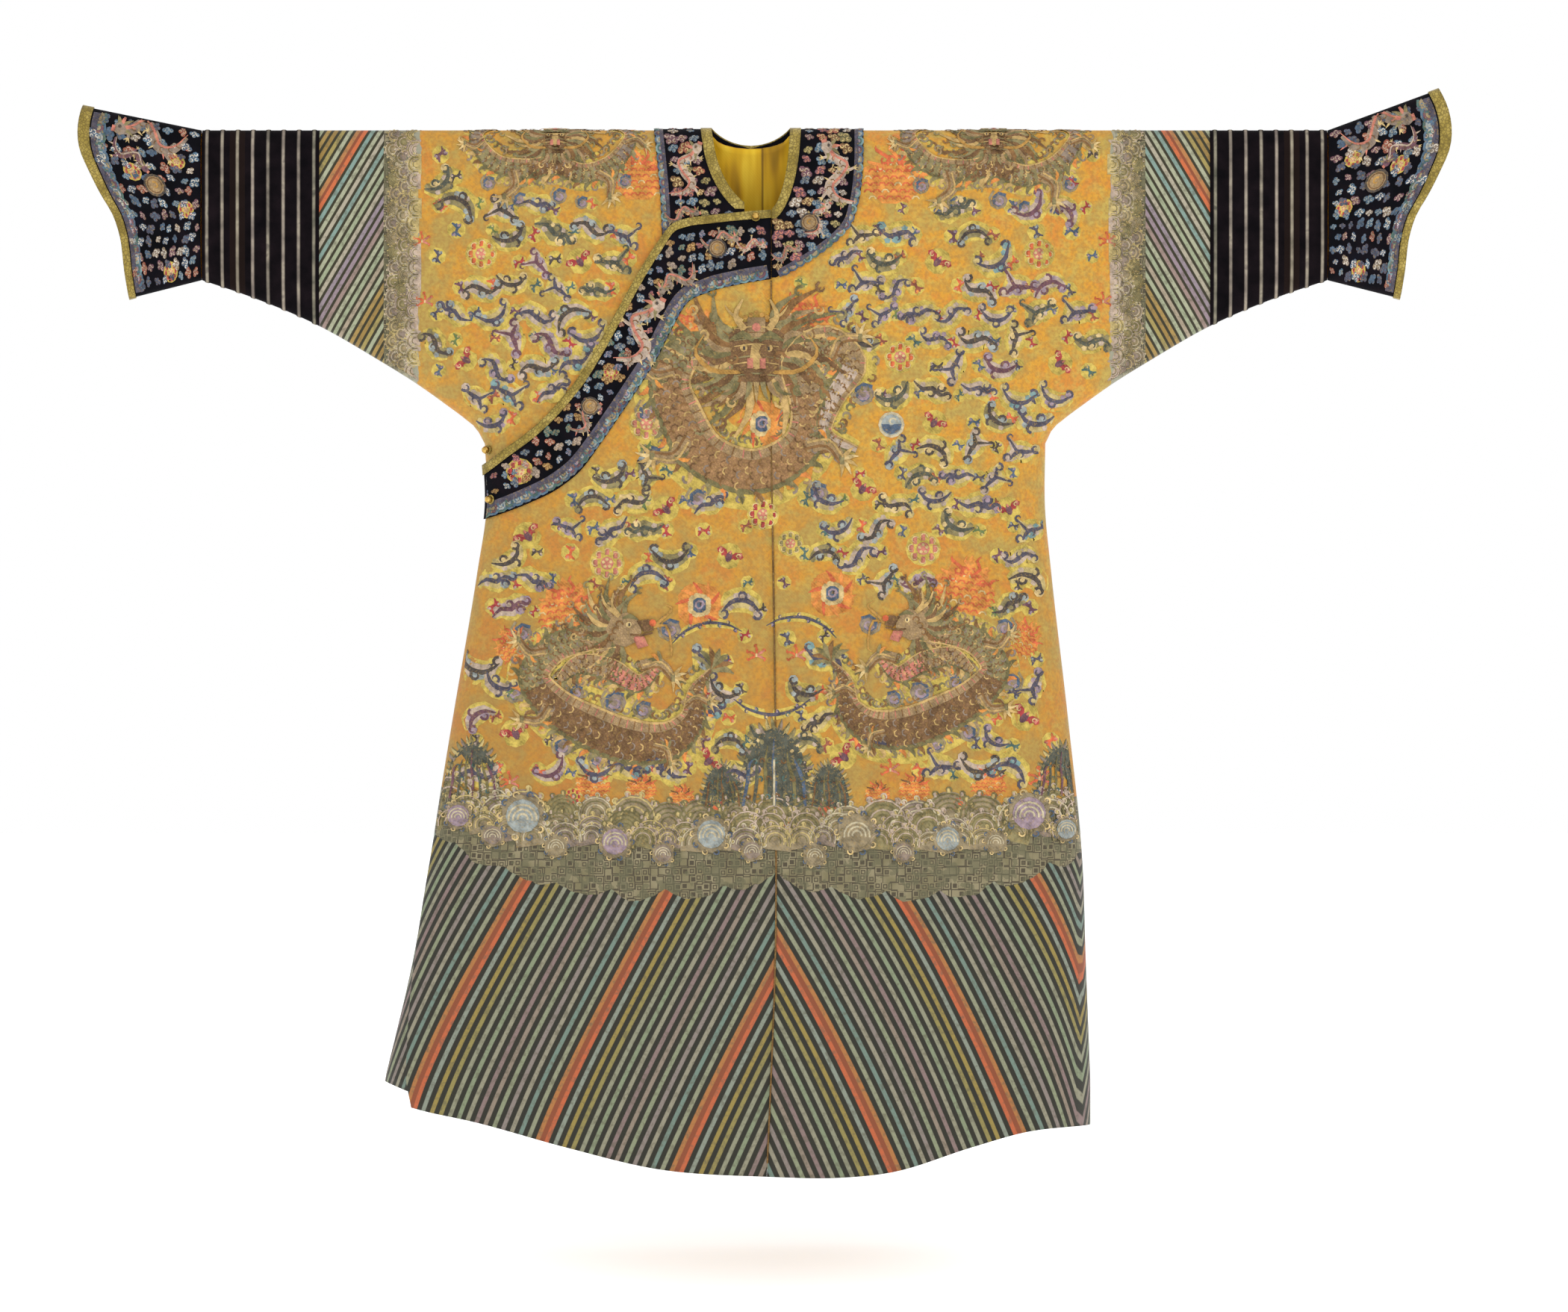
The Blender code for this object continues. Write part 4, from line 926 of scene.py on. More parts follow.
sewn("overlap_edge_band", overlapStrip(layers["onPanel"], overlapTrim, 10), band, [navy],
     "overlap_band")
sewn("overlap_piping", overlapStrip(layers["onBand"], pipingFoot, 2), band, [brocade],
     "overlap_binding")
sewn("neck_lining", backLining(), 0.001, [lining], "back_lining")
for name in ("neck", "side", "armpit"):
    for kind, finish in (("button_", brass), ("loop_", brocade)):
        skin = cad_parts[kind + name].data.materials
        skin.clear()
        skin.append(finish)
print("cloth sewn")

# Embroidery. Each stitch shape is drawn flat, in metres across and along the cloth from the shoulder fold,
# and then laid on the robe as low relief. Sizes inside a motif are shares of its own size.
# A pen is the drawing that it adds to and the place of its motif; lifts and puffs are in tenths of a millimetre.
tenthMm = 0.0001


def turnedSpot(across, along, size, turn, flip, rise):
    c, s = math.cos(math.radians(turn)), math.sin(math.radians(turn))
    return lambda x, y: (across + size * (c * x * flip - s * y), along + rise * size * (s * x * flip + c * y))


def spotAt(across, drop, size, turn=0.0, flip=1, face=front):
    return turnedSpot(across, -face * float(alongOf(drop)), size, turn, flip, face)


def cuffSpot(across, down, size, turn=0.0, flip=1, face=front):
    return turnedSpot(across, down, size, turn, flip, front)


def asDrawn(across, along):
    return across, along


def inset(pen, x, y, size):
    # a pen for a part of the motif, such as a head
    sheets, spot = pen
    return sheets, lambda px, py: spot(x + px * size, y + py * size)


def addMotifs(sheets, motif, rows, spotFor=spotAt, **where):
    # a row is across, drop and size, then turn and flip where they matter, then threads
    for row in rows:
        numbers = [value for value in row if not isinstance(value, str)]
        motif((sheets, spotFor(*numbers, **where)), *row[len(numbers):])


def painted(made, thread):
    index = threadNames.index(thread)
    for vert in made:
        for face in vert.link_faces:
            face.material_index = index
            face.smooth = True


def curve(points, count):
    # a smooth curve through a few points
    points = np.array(points, float)
    padded = np.concatenate((2 * points[:1] - points[1:2], points, 2 * points[-1:] - points[-2:-1]))
    at = np.linspace(0, len(points) - 1 - 1e-9, count + 1)
    low = at.astype(int)
    t = (at - low)[:, None]
    a, b, c, d = padded[low], padded[low + 1], padded[low + 2], padded[low + 3]
    return 0.5 * (2 * b + (c - a) * t + (2 * a - 5 * b + 4 * c - d) * t**2 + (3 * b - a - 3 * c + d) * t**3)


def arc(x, y, radius, start, end, count, shrink=0.0):
    turns = np.radians(np.linspace(start, end, count + 1))
    radii = radius * (1 - shrink * np.linspace(0, 1, count + 1))
    return np.stack((x + radii * np.cos(turns), y + radii * np.sin(turns)), axis=1)


def polar(radius, turn):
    return np.array((math.cos(math.radians(turn)), math.sin(math.radians(turn)))) * radius


def openSheet(sheets):
    # a drawing is a list of small meshes, which stay quick to add to
    if not sheets or len(sheets[-1].faces) > 400:
        sheets.append(bmesh.new())
    return sheets[-1]


def ribbon(pen, path, width, thread, lift=3, puff=4):
    # width is the half width, one for all or several spread evenly along the path
    sheets, spot = pen
    path, width = np.array(path, float), np.atleast_1d(np.array(width, float))
    count = len(path) - 1
    width = np.interp(np.linspace(0, 1, count + 1), np.linspace(0, 1, len(width)), width)
    run = np.gradient(path, axis=0)
    run /= np.maximum(np.linalg.norm(run, axis=1), 1e-9)[:, None]
    side = np.stack((-run[:, 1], run[:, 0]), axis=1) * width[:, None]
    rows = {edge: np.stack(spot(*(path + side * edge).T), axis=1) for edge in (-1, 0, 1)}
    made = bmesh.ops.create_grid(openSheet(sheets), x_segments=count, y_segments=2, size=1.0)["verts"]
    for vert in made:
        step, edge = round((vert.co.x + 1) / 2 * count), round(vert.co.y)
        vert.co = (*rows[edge][step], (lift if edge else lift + puff) * tenthMm)
    painted(made, thread)


def stroke(pen, points, count, *look):
    ribbon(pen, curve(points, count), *look)


def patch(pen, outline, thread, lift=3, puff=4):
    sheets, spot = pen
    outline = np.array(outline, float)
    count = len(outline)
    ring = np.stack(spot(*outline.T), axis=1)
    middle = spot(*outline.mean(axis=0))
    made = bmesh.ops.create_circle(
        openSheet(sheets), cap_ends=True, cap_tris=True, segments=count, radius=1.0)["verts"]
    for vert in made:
        if vert.co.length < 0.5:
            vert.co = (*middle, (lift + puff) * tenthMm)
        else:
            turn = math.atan2(vert.co.y, vert.co.x) / math.tau
            vert.co = (*ring[round(turn * count) % count], lift * tenthMm)
    painted(made, thread)


def disc(pen, x, y, radius, thread, lift=3, sides=9):
    patch(pen, arc(x, y, radius, 0, 360 - 360 / sides, sides - 1), thread, lift)


def curl(pen, x, y, radius, start, thread, width=0.035, lift=4, sweep=270):
    ribbon(pen, arc(x, y, radius, start, start + sweep, 6, 0.55), (width, width, width * 0.3), thread, lift, 2)


# stem of a cloud wisp, and its curled heads
cloudForms = (
    (((-1.0, -0.25), (-0.5, 0.05), (0.0, -0.08), (0.45, 0.14), (0.85, 0.02)),
     ((0.82, 0.16), (-0.05, 0.18), (0.4, -0.22))),
    (((-0.95, 0.3), (-0.5, -0.06), (0.0, -0.14), (0.45, 0.05), (0.7, 0.46)),
     ((0.6, 0.5), (0.15, -0.32), (-0.35, 0.16))),
    (((-0.9, -0.38), (-0.5, 0.1), (0.0, 0.26), (0.5, 0.1), (0.88, -0.35)), ((0.8, -0.4), (-0.8, -0.42), (0.0, 0.42))),
    (((-0.75, 0.5), (-0.3, 0.14), (0.02, -0.1), (0.12, -0.62)), ((-0.66, 0.58), (0.26, -0.58), (-0.2, -0.14))),
    (((-0.85, 0.05), (-0.4, 0.24), (0.0, 0.02), (0.4, -0.22), (0.9, -0.05)),
     ((0.88, 0.1), (-0.8, -0.12), (0.02, -0.22))),
)


def cloud(pen, shape, dark, pale, light):
    stem, heads = shape
    line = curve(stem, 8)
    ribbon(pen, line, (0.2, 0.54, 0.6, 0.54, 0.3), "halo", 1, 1)
    ribbon(pen, line + (0.02, -0.03), (0.08, 0.3, 0.36, 0.3, 0.16), pale, 2, 3)
    for step in range(1, 8):
        x, y = line[step] + (0.0, 0.2 if step % 2 else -0.22)
        disc(pen, x, y, 0.16, (light, pale, "dove")[step % 3], 4, 5)
    ribbon(pen, line, (0.03, 0.1, 0.13, 0.105, 0.05), dark, 6)
    for step, (x, y) in enumerate(heads):
        disc(pen, x, y, 0.25, pale if step % 2 else light, 5, 7)
        curl(pen, x, y, 0.23, 200 + 70 * step, dark, 0.07, 7, 250)
    if len(stem) == 4:
        stroke(pen, ((0.0, -0.08), (0.35, 0.06), (0.8, 0.28)), 4, (0.22, 0.18, 0.06), pale, 2)
        stroke(pen, ((0.0, -0.08), (0.35, 0.06), (0.8, 0.28)), 4, (0.09, 0.07, 0.02), dark, 5)
        curl(pen, 0.72, 0.36, 0.2, 250, dark, 0.05, 6)


def fleck(pen, main, light):
    # a small curled wisp or bud that fills the ground between the clouds
    disc(pen, 0, 0, 1.0, "halo", 1, 8)
    stroke(pen, ((-0.8, -0.2), (-0.2, 0.16), (0.3, -0.1), (0.85, 0.22)), 5, (0.08, 0.24, 0.2, 0.06), main, 3)
    for x, y, start in ((-0.3, 0.38, 200), (0.36, -0.4, 20)):
        disc(pen, x, y, 0.3, light, 3, 6)
        curl(pen, x, y, 0.3, start, main, 0.09, 5)


def longCloud(pen):
    # a drawn-out wisp with curls along both sides
    line = curve(((-1.0, -0.25), (-0.6, 0.02), (0.0, 0.16), (0.6, 0.02), (1.0, -0.25)), 18)
    ribbon(pen, line, (0.03, 0.12, 0.14, 0.12, 0.03), "halo", 1, 1)
    ribbon(pen, line, (0.01, 0.035, 0.045, 0.035, 0.01), "navy", 4)
    for step in range(2, 17, 2):
        side = 1 if step % 4 else -1
        x, y = line[step] + (0, side * 0.075)
        disc(pen, x, y, 0.06, "cream" if side > 0 else "lilac", 3, 6)
        curl(pen, x, y, 0.07, 180 * (side > 0) + 20, "navy" if step % 3 else "teal", 0.02, 5)


def bat(pen):
    wing = ((0.08, 0.05), (0.35, 0.42), (0.78, 0.52), (1.0, 0.28), (0.86, 0.06), (0.66, 0.12), (0.52, -0.12),
            (0.32, -0.02), (0.16, -0.22))
    disc(pen, 0, 0.05, 0.95, "halo", 1, 10)
    for side in (-1, 1):
        patch(pen, [(side * x, y) for x, y in wing], "red", 4)
        disc(pen, side * 0.74, 0.3, 0.2, "rose", 7, 6)
        curl(pen, side * 0.62, 0.22, 0.18, 90 - side * 60, "cream", 0.045, 9)
    patch(pen, arc(0, -0.02, 0.26, 0, 320, 8) * (0.9, 1.5), "plum", 6)
    disc(pen, 0, 0.32, 0.14, "rose", 9, 6)


def flames(pen, hot="coral", pale="orange"):
    # an openwork of small scales that rises into tongues
    patch(pen, ((0.85, -0.5), (1.0, 0.0), (0.72, 0.35), (0.62, 0.8), (0.3, 0.62), (0.05, 1.1), (-0.2, 0.66),
                (-0.55, 0.85), (-0.66, 0.4), (-1.0, 0.25), (-0.85, -0.4), (-0.4, -0.9), (0.4, -0.92)), "ember", 1, 2)
    for row in range(7):
        y = -0.78 + row * 0.22
        reach = 0.9 - 0.05 * (row - 2.0) ** 2
        count = max(int(reach / 0.125), 1)
        for step in range(-count, count + 1):
            if (step + row) % 2:
                ribbon(pen, arc(step * reach / count, y, 0.12, 10, 170, 3), 0.026,
                       hot if (step + 2 * row) % 5 else "cream", 3, 2)
    for step, turn in enumerate((150, 122, 96, 72, 44, 22)):
        tip = polar(1.0 + 0.12 * (step % 2), turn)
        stroke(pen, (tip * 0.35, tip * 0.6 + (0.16, 0.02), tip * 0.85 - (0.06, 0.0), tip), 6,
               (0.04, 0.06, 0.05, 0.01), hot if step % 2 else pale, 4)
        curl(pen, *(tip * 0.5), 0.13, turn, "coral", 0.03, 5)


def pearl(pen):
    disc(pen, 0, 0, 2.0, "ember", 1, 14)
    for step in range(10):
        turn = step * 36 + 10
        base, tip = polar(1.0, turn), polar(2.05, turn + 24)
        stroke(pen, (base, (base + tip) / 2 * 1.08, tip), 4, (0.2, 0.14, 0.02), "orange" if step % 2 else "coral", 3)
    disc(pen, 0, 0, 1.08, "cream", 5, 14)
    disc(pen, 0, 0, 0.66, "slate", 8, 10)
    ribbon(pen, arc(0, 0, 0.42, 0, 400, 8, 0.5), 0.09, "lilac", 10)
    disc(pen, 0.1, 0.1, 0.16, "ink", 13, 6)


def roundel(pen, main, ring="cream", heart="rose"):
    # a fine open flower
    disc(pen, 0, 0, 1.0, "halo", 1, 12)
    for step in range(8):
        x, y = polar(0.66, step * 45)
        disc(pen, x, y, 0.24, main, 3, 6)
        curl(pen, x, y, 0.25, step * 45 - 100, ring, 0.035, 6, 220)
    disc(pen, 0, 0, 0.38, heart, 5, 8)
    for step in range(5):
        x, y = polar(0.22, step * 72 + 20)
        disc(pen, x, y, 0.1, ring, 8, 5)


def moonDisc(pen):
    disc(pen, 0, 0, 1.15, "white", 3, 12)
    disc(pen, 0, 0, 0.92, "sky", 6, 12)
    patch(pen, arc(0, 0.05, 0.86, 180, 360, 8), "slate", 9)
    curl(pen, 0.1, 0.25, 0.36, 30, "white", 0.08, 9)


def spray(pen):
    # a small sprig of curled leaves
    for step, turn in enumerate((95, 30, 160, 330, 210)):
        tip = polar(0.85, turn)
        stroke(
            pen, ((0, -0.1), tip * 0.5 + (0.08, 0.0), tip), 4, (0.05, 0.12, 0.02), "rose" if step % 2 else "coral", 3)
        curl(pen, *(tip * 0.85), 0.17, turn - 60, "coral", 0.05, 5)
    disc(pen, 0, -0.05, 0.17, "cream", 7, 6)


def alongPath(path, share):
    at = share * (len(path) - 1)
    low = min(int(at), len(path) - 2)
    run = path[low + 1] - path[low]
    return path[low] + run * (at - low), math.degrees(math.atan2(run[1], run[0]))


def dragonBody(pen, path, widths, scales=30, mains=("tan",), belly=1):
    # couched gilt body with a pale belly edge, rows of scales, fins and small curls of fire and cloud beside it
    shares = np.linspace(0, 1, len(path))
    half = np.interp(shares, np.linspace(0, 1, len(widths)), widths)
    run = np.gradient(path, axis=0)
    run /= np.linalg.norm(run, axis=1)[:, None]
    side = np.stack((-run[:, 1], run[:, 0]), axis=1) * belly
    ribbon(pen, path, half * 1.75 + 0.03, "halo", 1, 1)
    ribbon(pen, path, half * 1.1, "bark", 3)
    stretch = len(path) // len(mains)
    for index, main in enumerate(mains):
        part = slice(index * stretch, len(path) if index == len(mains) - 1 else (index + 1) * stretch + 1)
        ribbon(pen, path[part], half[part], main, 5, 10)
    ribbon(pen, path + side * half[:, None] * 0.78, half * 0.24, "pearl", 12, 3)
    ribbon(pen, path + side * half[:, None] * 1.02, half * 0.05 + 0.003, "straw", 15)
    ribbon(pen, path - side * half[:, None] * 1.02, half * 0.1 + 0.004, "moss", 8)
    fringe = ("sage", "moss", "straw", "orange", "bark", "pearl", "rose", "mist", "haze")
    for step in range(scales):
        point, turn = alongPath(path, 0.03 + 0.95 * step / scales)
        width = float(np.interp(0.03 + 0.95 * step / scales, shares, half))
        normal, forward = polar(1.0, turn + 90) * belly, polar(1.0, turn)
        for index, row in enumerate((-0.8, -0.52, -0.24, 0.04, 0.32)):
            centre = point + normal * width * row + forward * width * 0.2 * (index % 2)
            ribbon(pen, arc(*centre, width * 0.19, turn - 80, turn + 80, 3), 0.0075,
                   ("umber", "haze", "bark", "umber", "straw")[(index + 3 * step) % 5], 14, 1)
        rung = point + normal * width * 0.78
        ribbon(pen, (rung - normal * width * 0.2, rung, rung + normal * width * 0.2), 0.006,
               ("bark", "rose")[step % 2], 17, 1)
        root = point - normal * width * 1.02
        tip = root - normal * (0.06 + width * 0.3) - forward * 0.06
        stroke(pen, (root, (root + tip) / 2 - forward * 0.02, tip), 3, (0.028, 0.024, 0.004), fringe[step * 2 % 5], 6)
        for sign in (-1, 1):
            x, y = point + normal * sign * (width * 1.0 + 0.085) + forward * 0.03 * sign
            curl(pen, x, y, 0.046, turn + 50 * step, fringe[(step * 3 + sign) % 9], 0.013, 4)


def claw(pen, x, y, turn, size):
    # a bent leg with flame locks at the joint and five claws
    start, reach = np.array((x, y)), polar(size, turn)
    across = polar(size, turn + 90)
    knee, foot = start + reach * 0.5 + across * 0.28, start + reach
    leg = curve((start, knee, foot), 6)
    ribbon(pen, leg, (size * 0.24, size * 0.19, size * 0.11), "pearl", 12)
    ribbon(pen, leg - across * 0.1, size * 0.035, "bark", 18)
    ribbon(pen, leg + across * 0.08, size * 0.03, "straw", 19)
    for step in range(3):
        lock = polar(size * 0.42, turn + 120 + step * 30)
        stroke(pen, (knee, knee + lock * 0.6 + across * 0.08, knee + lock), 3, (size * 0.08, size * 0.06, 0.003),
               ("sage", "ember", "moss")[step], 14)
    for step in range(5):
        tip = foot + polar(size * 0.44, turn - 70 + step * 35)
        stroke(pen, (foot, (foot + tip) / 2 + across * 0.05, tip), 3, (size * 0.075, size * 0.055, size * 0.01),
               "cream" if step % 2 else "straw", 15)
    disc(pen, *foot, size * 0.13, "sage", 20, 6)


def claws(pen, rows):
    for x, y, turn, size in rows:
        claw(pen, x, y, turn, size)


def mane(at, middle, starts, reach, count, lift):
    locks = ("sage", "bark", "pearl", "moss", "tan", "straw", "sage", "umber")
    for step in range(count):
        turn = starts[0] + (starts[1] - starts[0]) * step / (count - 1)
        tip = middle + polar(reach * (1 + 0.22 * (step % 2)), turn)
        root = middle + polar(reach * 0.25, turn)
        stroke(at, (root, (root + tip) / 2 + polar(reach * 0.16, turn + 90), tip), 5, (0.1, 0.09, 0.012),
               locks[step % 8], lift)
        curl(at, *tip, 0.13, turn + 60 * step, locks[(step + 3) % 8], 0.032, lift + 3)


def sideHead(pen, x, y, size):
    at = inset(pen, x, y, size)
    mane(at, np.array((-0.15, 0.05)), (60, 268), 1.45, 17, 12)
    mane(at, np.array((-0.15, 0.05)), (75, 255), 1.0, 13, 15)
    patch(at, ((0.5, 0.42), (0.15, 0.62), (-0.35, 0.5), (-0.55, 0.05), (-0.3, -0.4), (0.1, -0.5), (0.5, -0.3),
               (0.62, 0.0)), "pearl", 19, 10)
    patch(at, ((1.06, 0.26), (0.85, 0.4), (0.45, 0.34), (0.35, 0.02), (0.7, -0.04), (1.02, 0.04)), "tan", 23)
    patch(at, ((0.92, -0.3), (0.7, -0.16), (0.3, -0.14), (0.15, -0.42), (0.5, -0.56), (0.84, -0.46)), "rose", 21)
    stroke(at, ((0.25, -0.1), (0.6, -0.12), (0.98, -0.04)), 4, 0.035, "umber", 27)
    disc(at, 0.2, 0.22, 0.1, "cream", 27, 7)
    disc(at, 0.22, 0.22, 0.055, "ink", 33, 6)
    stroke(at, ((0.0, 0.42), (0.25, 0.5), (0.5, 0.38)), 4, (0.03, 0.08, 0.02), "moss", 29)
    for step in range(3):
        curl(at, -0.12 - 0.12 * step, 0.22 - 0.22 * step, 0.14, 40 * step, "bark", 0.03, 28)
    for sign in (0, 1):
        stroke(at, ((-0.1, 0.5), (-0.35 - 0.2 * sign, 0.85), (-0.3 - 0.4 * sign, 1.25)), 5, (0.08, 0.05, 0.02),
               "straw", 25)
    for rise in (-1, 1):
        stroke(at, ((1.0, 0.15), (1.45, 0.35 + 0.2 * rise), (1.6, 0.75 * rise), (1.35, 0.9 * rise)), 7,
               (0.05, 0.035, 0.01), "gold", 17)
    disc(at, 0.98, 0.28, 0.12, "coral", 29, 7)


def dragonCurls(pen, curls):
    # blue and lilac cloud curls in and round the coils
    for x, y, radius in curls:
        disc(pen, x, y, radius, "haze", 2, 8)
        curl(pen, x, y, radius, 40, "slate", 0.018, 4, 330)
        curl(pen, x, y, radius * 0.55, 200, "lilac", 0.016, 6)
        curl(pen, x, y, radius * 1.4, 120, "mist", 0.014, 4)


def sideDragon(pen):
    # head turned over the coil, body hung from it to the left, a broad low belly, tail up at the right
    path = curve(((0.06, 0.44), (-0.28, 0.4), (-0.6, 0.28), (-0.78, 0.0), (-0.58, -0.28), (-0.22, -0.5), (0.2, -0.66),
                  (0.6, -0.66), (0.86, -0.44), (0.9, -0.14), (1.06, 0.08)), 60)
    dragonBody(
        pen, path, (0.12, 0.13, 0.14, 0.15, 0.18, 0.21, 0.22, 0.19, 0.13, 0.07, 0.02), 46, ("sage", "tan", "tan"))
    coil = curve(((-0.52, -0.02), (-0.3, 0.14), (0.02, 0.08), (0.3, -0.06), (0.52, 0.12)), 24)
    dragonBody(pen, coil, (0.04, 0.1, 0.11, 0.09, 0.04), 18, ("pearl", "rose"))
    for step in range(7):
        tip = path[-1] + polar(0.24, -10 + step * 26)
        stroke(pen, (path[-1], (path[-1] + tip) / 2 + (0.02, 0.03), tip), 4, (0.035, 0.035, 0.005),
               ("sage", "bark", "moss")[step % 3], 7)
    claws(pen, ((-0.66, 0.28, 158, 0.3), (-0.62, -0.3, 205, 0.32), (0.46, -0.7, 312, 0.26),
                (0.34, 0.1, 342, 0.34), (0.78, -0.3, 8, 0.26)))
    sideHead(pen, 0.14, 0.48, 0.32)
    dragonCurls(pen, ((0.06, -0.26, 0.12), (0.36, -0.34, 0.09), (-0.9, 0.46, 0.1), (0.64, 0.5, 0.11),
                      (-0.98, -0.16, 0.1), (-0.48, -0.72, 0.1), (-0.12, -0.86, 0.08), (-0.34, -0.16, 0.08)))


def frontHead(pen, x, y, size):
    at = inset(pen, x, y, size)
    for side in (-1, 1):
        mane(at, np.array((side * 0.15, 0.05)), (90 - side * 30, 90 - side * 168), 1.62, 14, 10)
        mane(at, np.array((side * 0.15, 0.05)), (90 - side * 42, 90 - side * 160), 1.12, 11, 14)
        stroke(at, ((side * 0.26, 0.6), (side * 0.46, 0.92), (side * 0.3, 1.28)), 6, (0.08, 0.06, 0.02), "straw", 23)
        stroke(at, ((side * 0.3, 0.8), (side * 0.56, 0.96), (side * 0.7, 1.15)), 4, (0.04, 0.03, 0.01), "straw", 22)
        stroke(at, ((side * 0.35, -0.32), (side * 0.95, -0.3), (side * 1.35, 0.1), (side * 1.15, 0.5)), 8,
               (0.05, 0.05, 0.01), "gold", 21)
    patch(at, ((0.62, 0.1), (0.62, 0.5), (0.28, 0.78), (-0.28, 0.78), (-0.62, 0.5), (-0.62, 0.1), (-0.5, -0.36),
               (-0.2, -0.62), (0.2, -0.62), (0.5, -0.36)), "tan", 18, 14)
    for step in range(9):
        stroke(at, ((-0.5, 0.62 - 0.13 * step), (0.0, 0.68 - 0.13 * step), (0.5, 0.62 - 0.13 * step)), 5,
               (0.01, 0.022, 0.01), ("straw", "umber", "sage")[step % 3], 28)
    patch(at, ((0.44, 0.5), (0.2, 0.88), (-0.2, 0.88), (-0.44, 0.5), (-0.2, 0.42), (0.2, 0.42)), "pearl", 28)
    for side in (-1, 1):
        disc(at, side * 0.28, 0.2, 0.085, "straw", 33, 8)
        disc(at, side * 0.27, 0.19, 0.05, "ink", 38, 6)
        stroke(at, ((side * 0.06, 0.36), (side * 0.3, 0.5), (side * 0.6, 0.36)), 4, (0.04, 0.09, 0.02), "moss", 33)
        curl(at, side * 0.5, -0.02, 0.15, 90 - side * 80, "bark", 0.035, 31)
        disc(at, side * 0.14, -0.14, 0.13, "rose", 35, 6)
        stroke(at, ((side * 0.08, -0.4), (side * 0.3, -0.34), (side * 0.45, -0.2)), 4, 0.032, "umber", 33)
        for step in range(4):
            stroke(at, ((side * 0.14 * step, -0.55), (side * 0.18 * step, -0.78),
                        (side * 0.26 * step, -1.0 + 0.06 * step)), 3, (0.06, 0.05, 0.01),
                   ("cream", "sage", "pearl", "moss")[step], 25)
    patch(
        at, ((0.1, 0.3), (0.14, 0.0), (0.2, -0.2), (0, -0.28), (-0.2, -0.2), (-0.14, 0.0), (-0.1, 0.3)), "straw", 31)
    disc(at, 0, 0.66, 0.1, "rose", 34, 7)
    for step in range(5):
        disc(at, -0.24 + 0.12 * step, 0.98 - 0.05 * abs(step - 2), 0.06, "gold", 30, 5)


def facingDragon(pen):
    # slung round its pearl, the head facing out
    path = curve(((0.95, -0.46), (0.66, -0.3), (0.74, 0.02), (0.92, 0.34), (0.66, 0.56), (0.4, 0.34), (0.5, -0.08),
                  (0.42, -0.44), (0.0, -0.66), (-0.46, -0.5), (-0.68, -0.14), (-0.78, 0.18), (-0.6, 0.46),
                  (-0.22, 0.4), (-0.04, 0.44)), 64)
    dragonBody(pen, path, (0.03, 0.08, 0.12, 0.14, 0.15, 0.19, 0.2, 0.18, 0.15, 0.14), 56,
               ("dove", "pearl", "bronze", "bronze", "sage"), -1)
    claws(pen, ((0.48, -0.42, 338, 0.36), (-0.62, -0.36, 205, 0.36), (-0.74, 0.26, 160, 0.34), (0.72, 0.4, 35, 0.32)))
    frontHead(pen, 0.02, 0.4, 0.42)
    dragonCurls(pen, ((-0.98, -0.12, 0.1), (1.02, 0.06, 0.1), (-0.92, 0.62, 0.1), (0.6, -0.86, 0.09),
                      (-0.52, -0.92, 0.09), (-0.94, -0.52, 0.09)))


def shoulderDragon(pen):
    # lies over the shoulder fold: the head, two loops of the body and the forelegs show on the front
    path = curve(((-0.7, 0.46), (-0.96, 0.16), (-0.74, -0.16), (-0.34, -0.24), (0.0, -0.2), (0.36, -0.3),
                  (0.72, -0.16), (0.92, 0.16), (0.66, 0.44)), 52)
    dragonBody(
        pen, path, (0.03, 0.08, 0.1, 0.11, 0.11, 0.11, 0.1, 0.07, 0.03), 36, ("haze", "sage", "tan", "sage", "haze"))
    claws(pen, ((-0.5, -0.26, 250, 0.34), (0.52, -0.28, 296, 0.34), (-0.86, 0.1, 190, 0.24), (0.86, 0.06, 350, 0.24)))
    frontHead(pen, 0.0, 0.1, 0.3)
    dragonCurls(pen, ((-0.42, -0.62, 0.08), (0.06, -0.58, 0.09), (0.34, -0.66, 0.07), (-0.8, -0.42, 0.08),
                      (0.86, -0.4, 0.08), (-0.34, 0.44, 0.08), (0.36, 0.46, 0.08)))


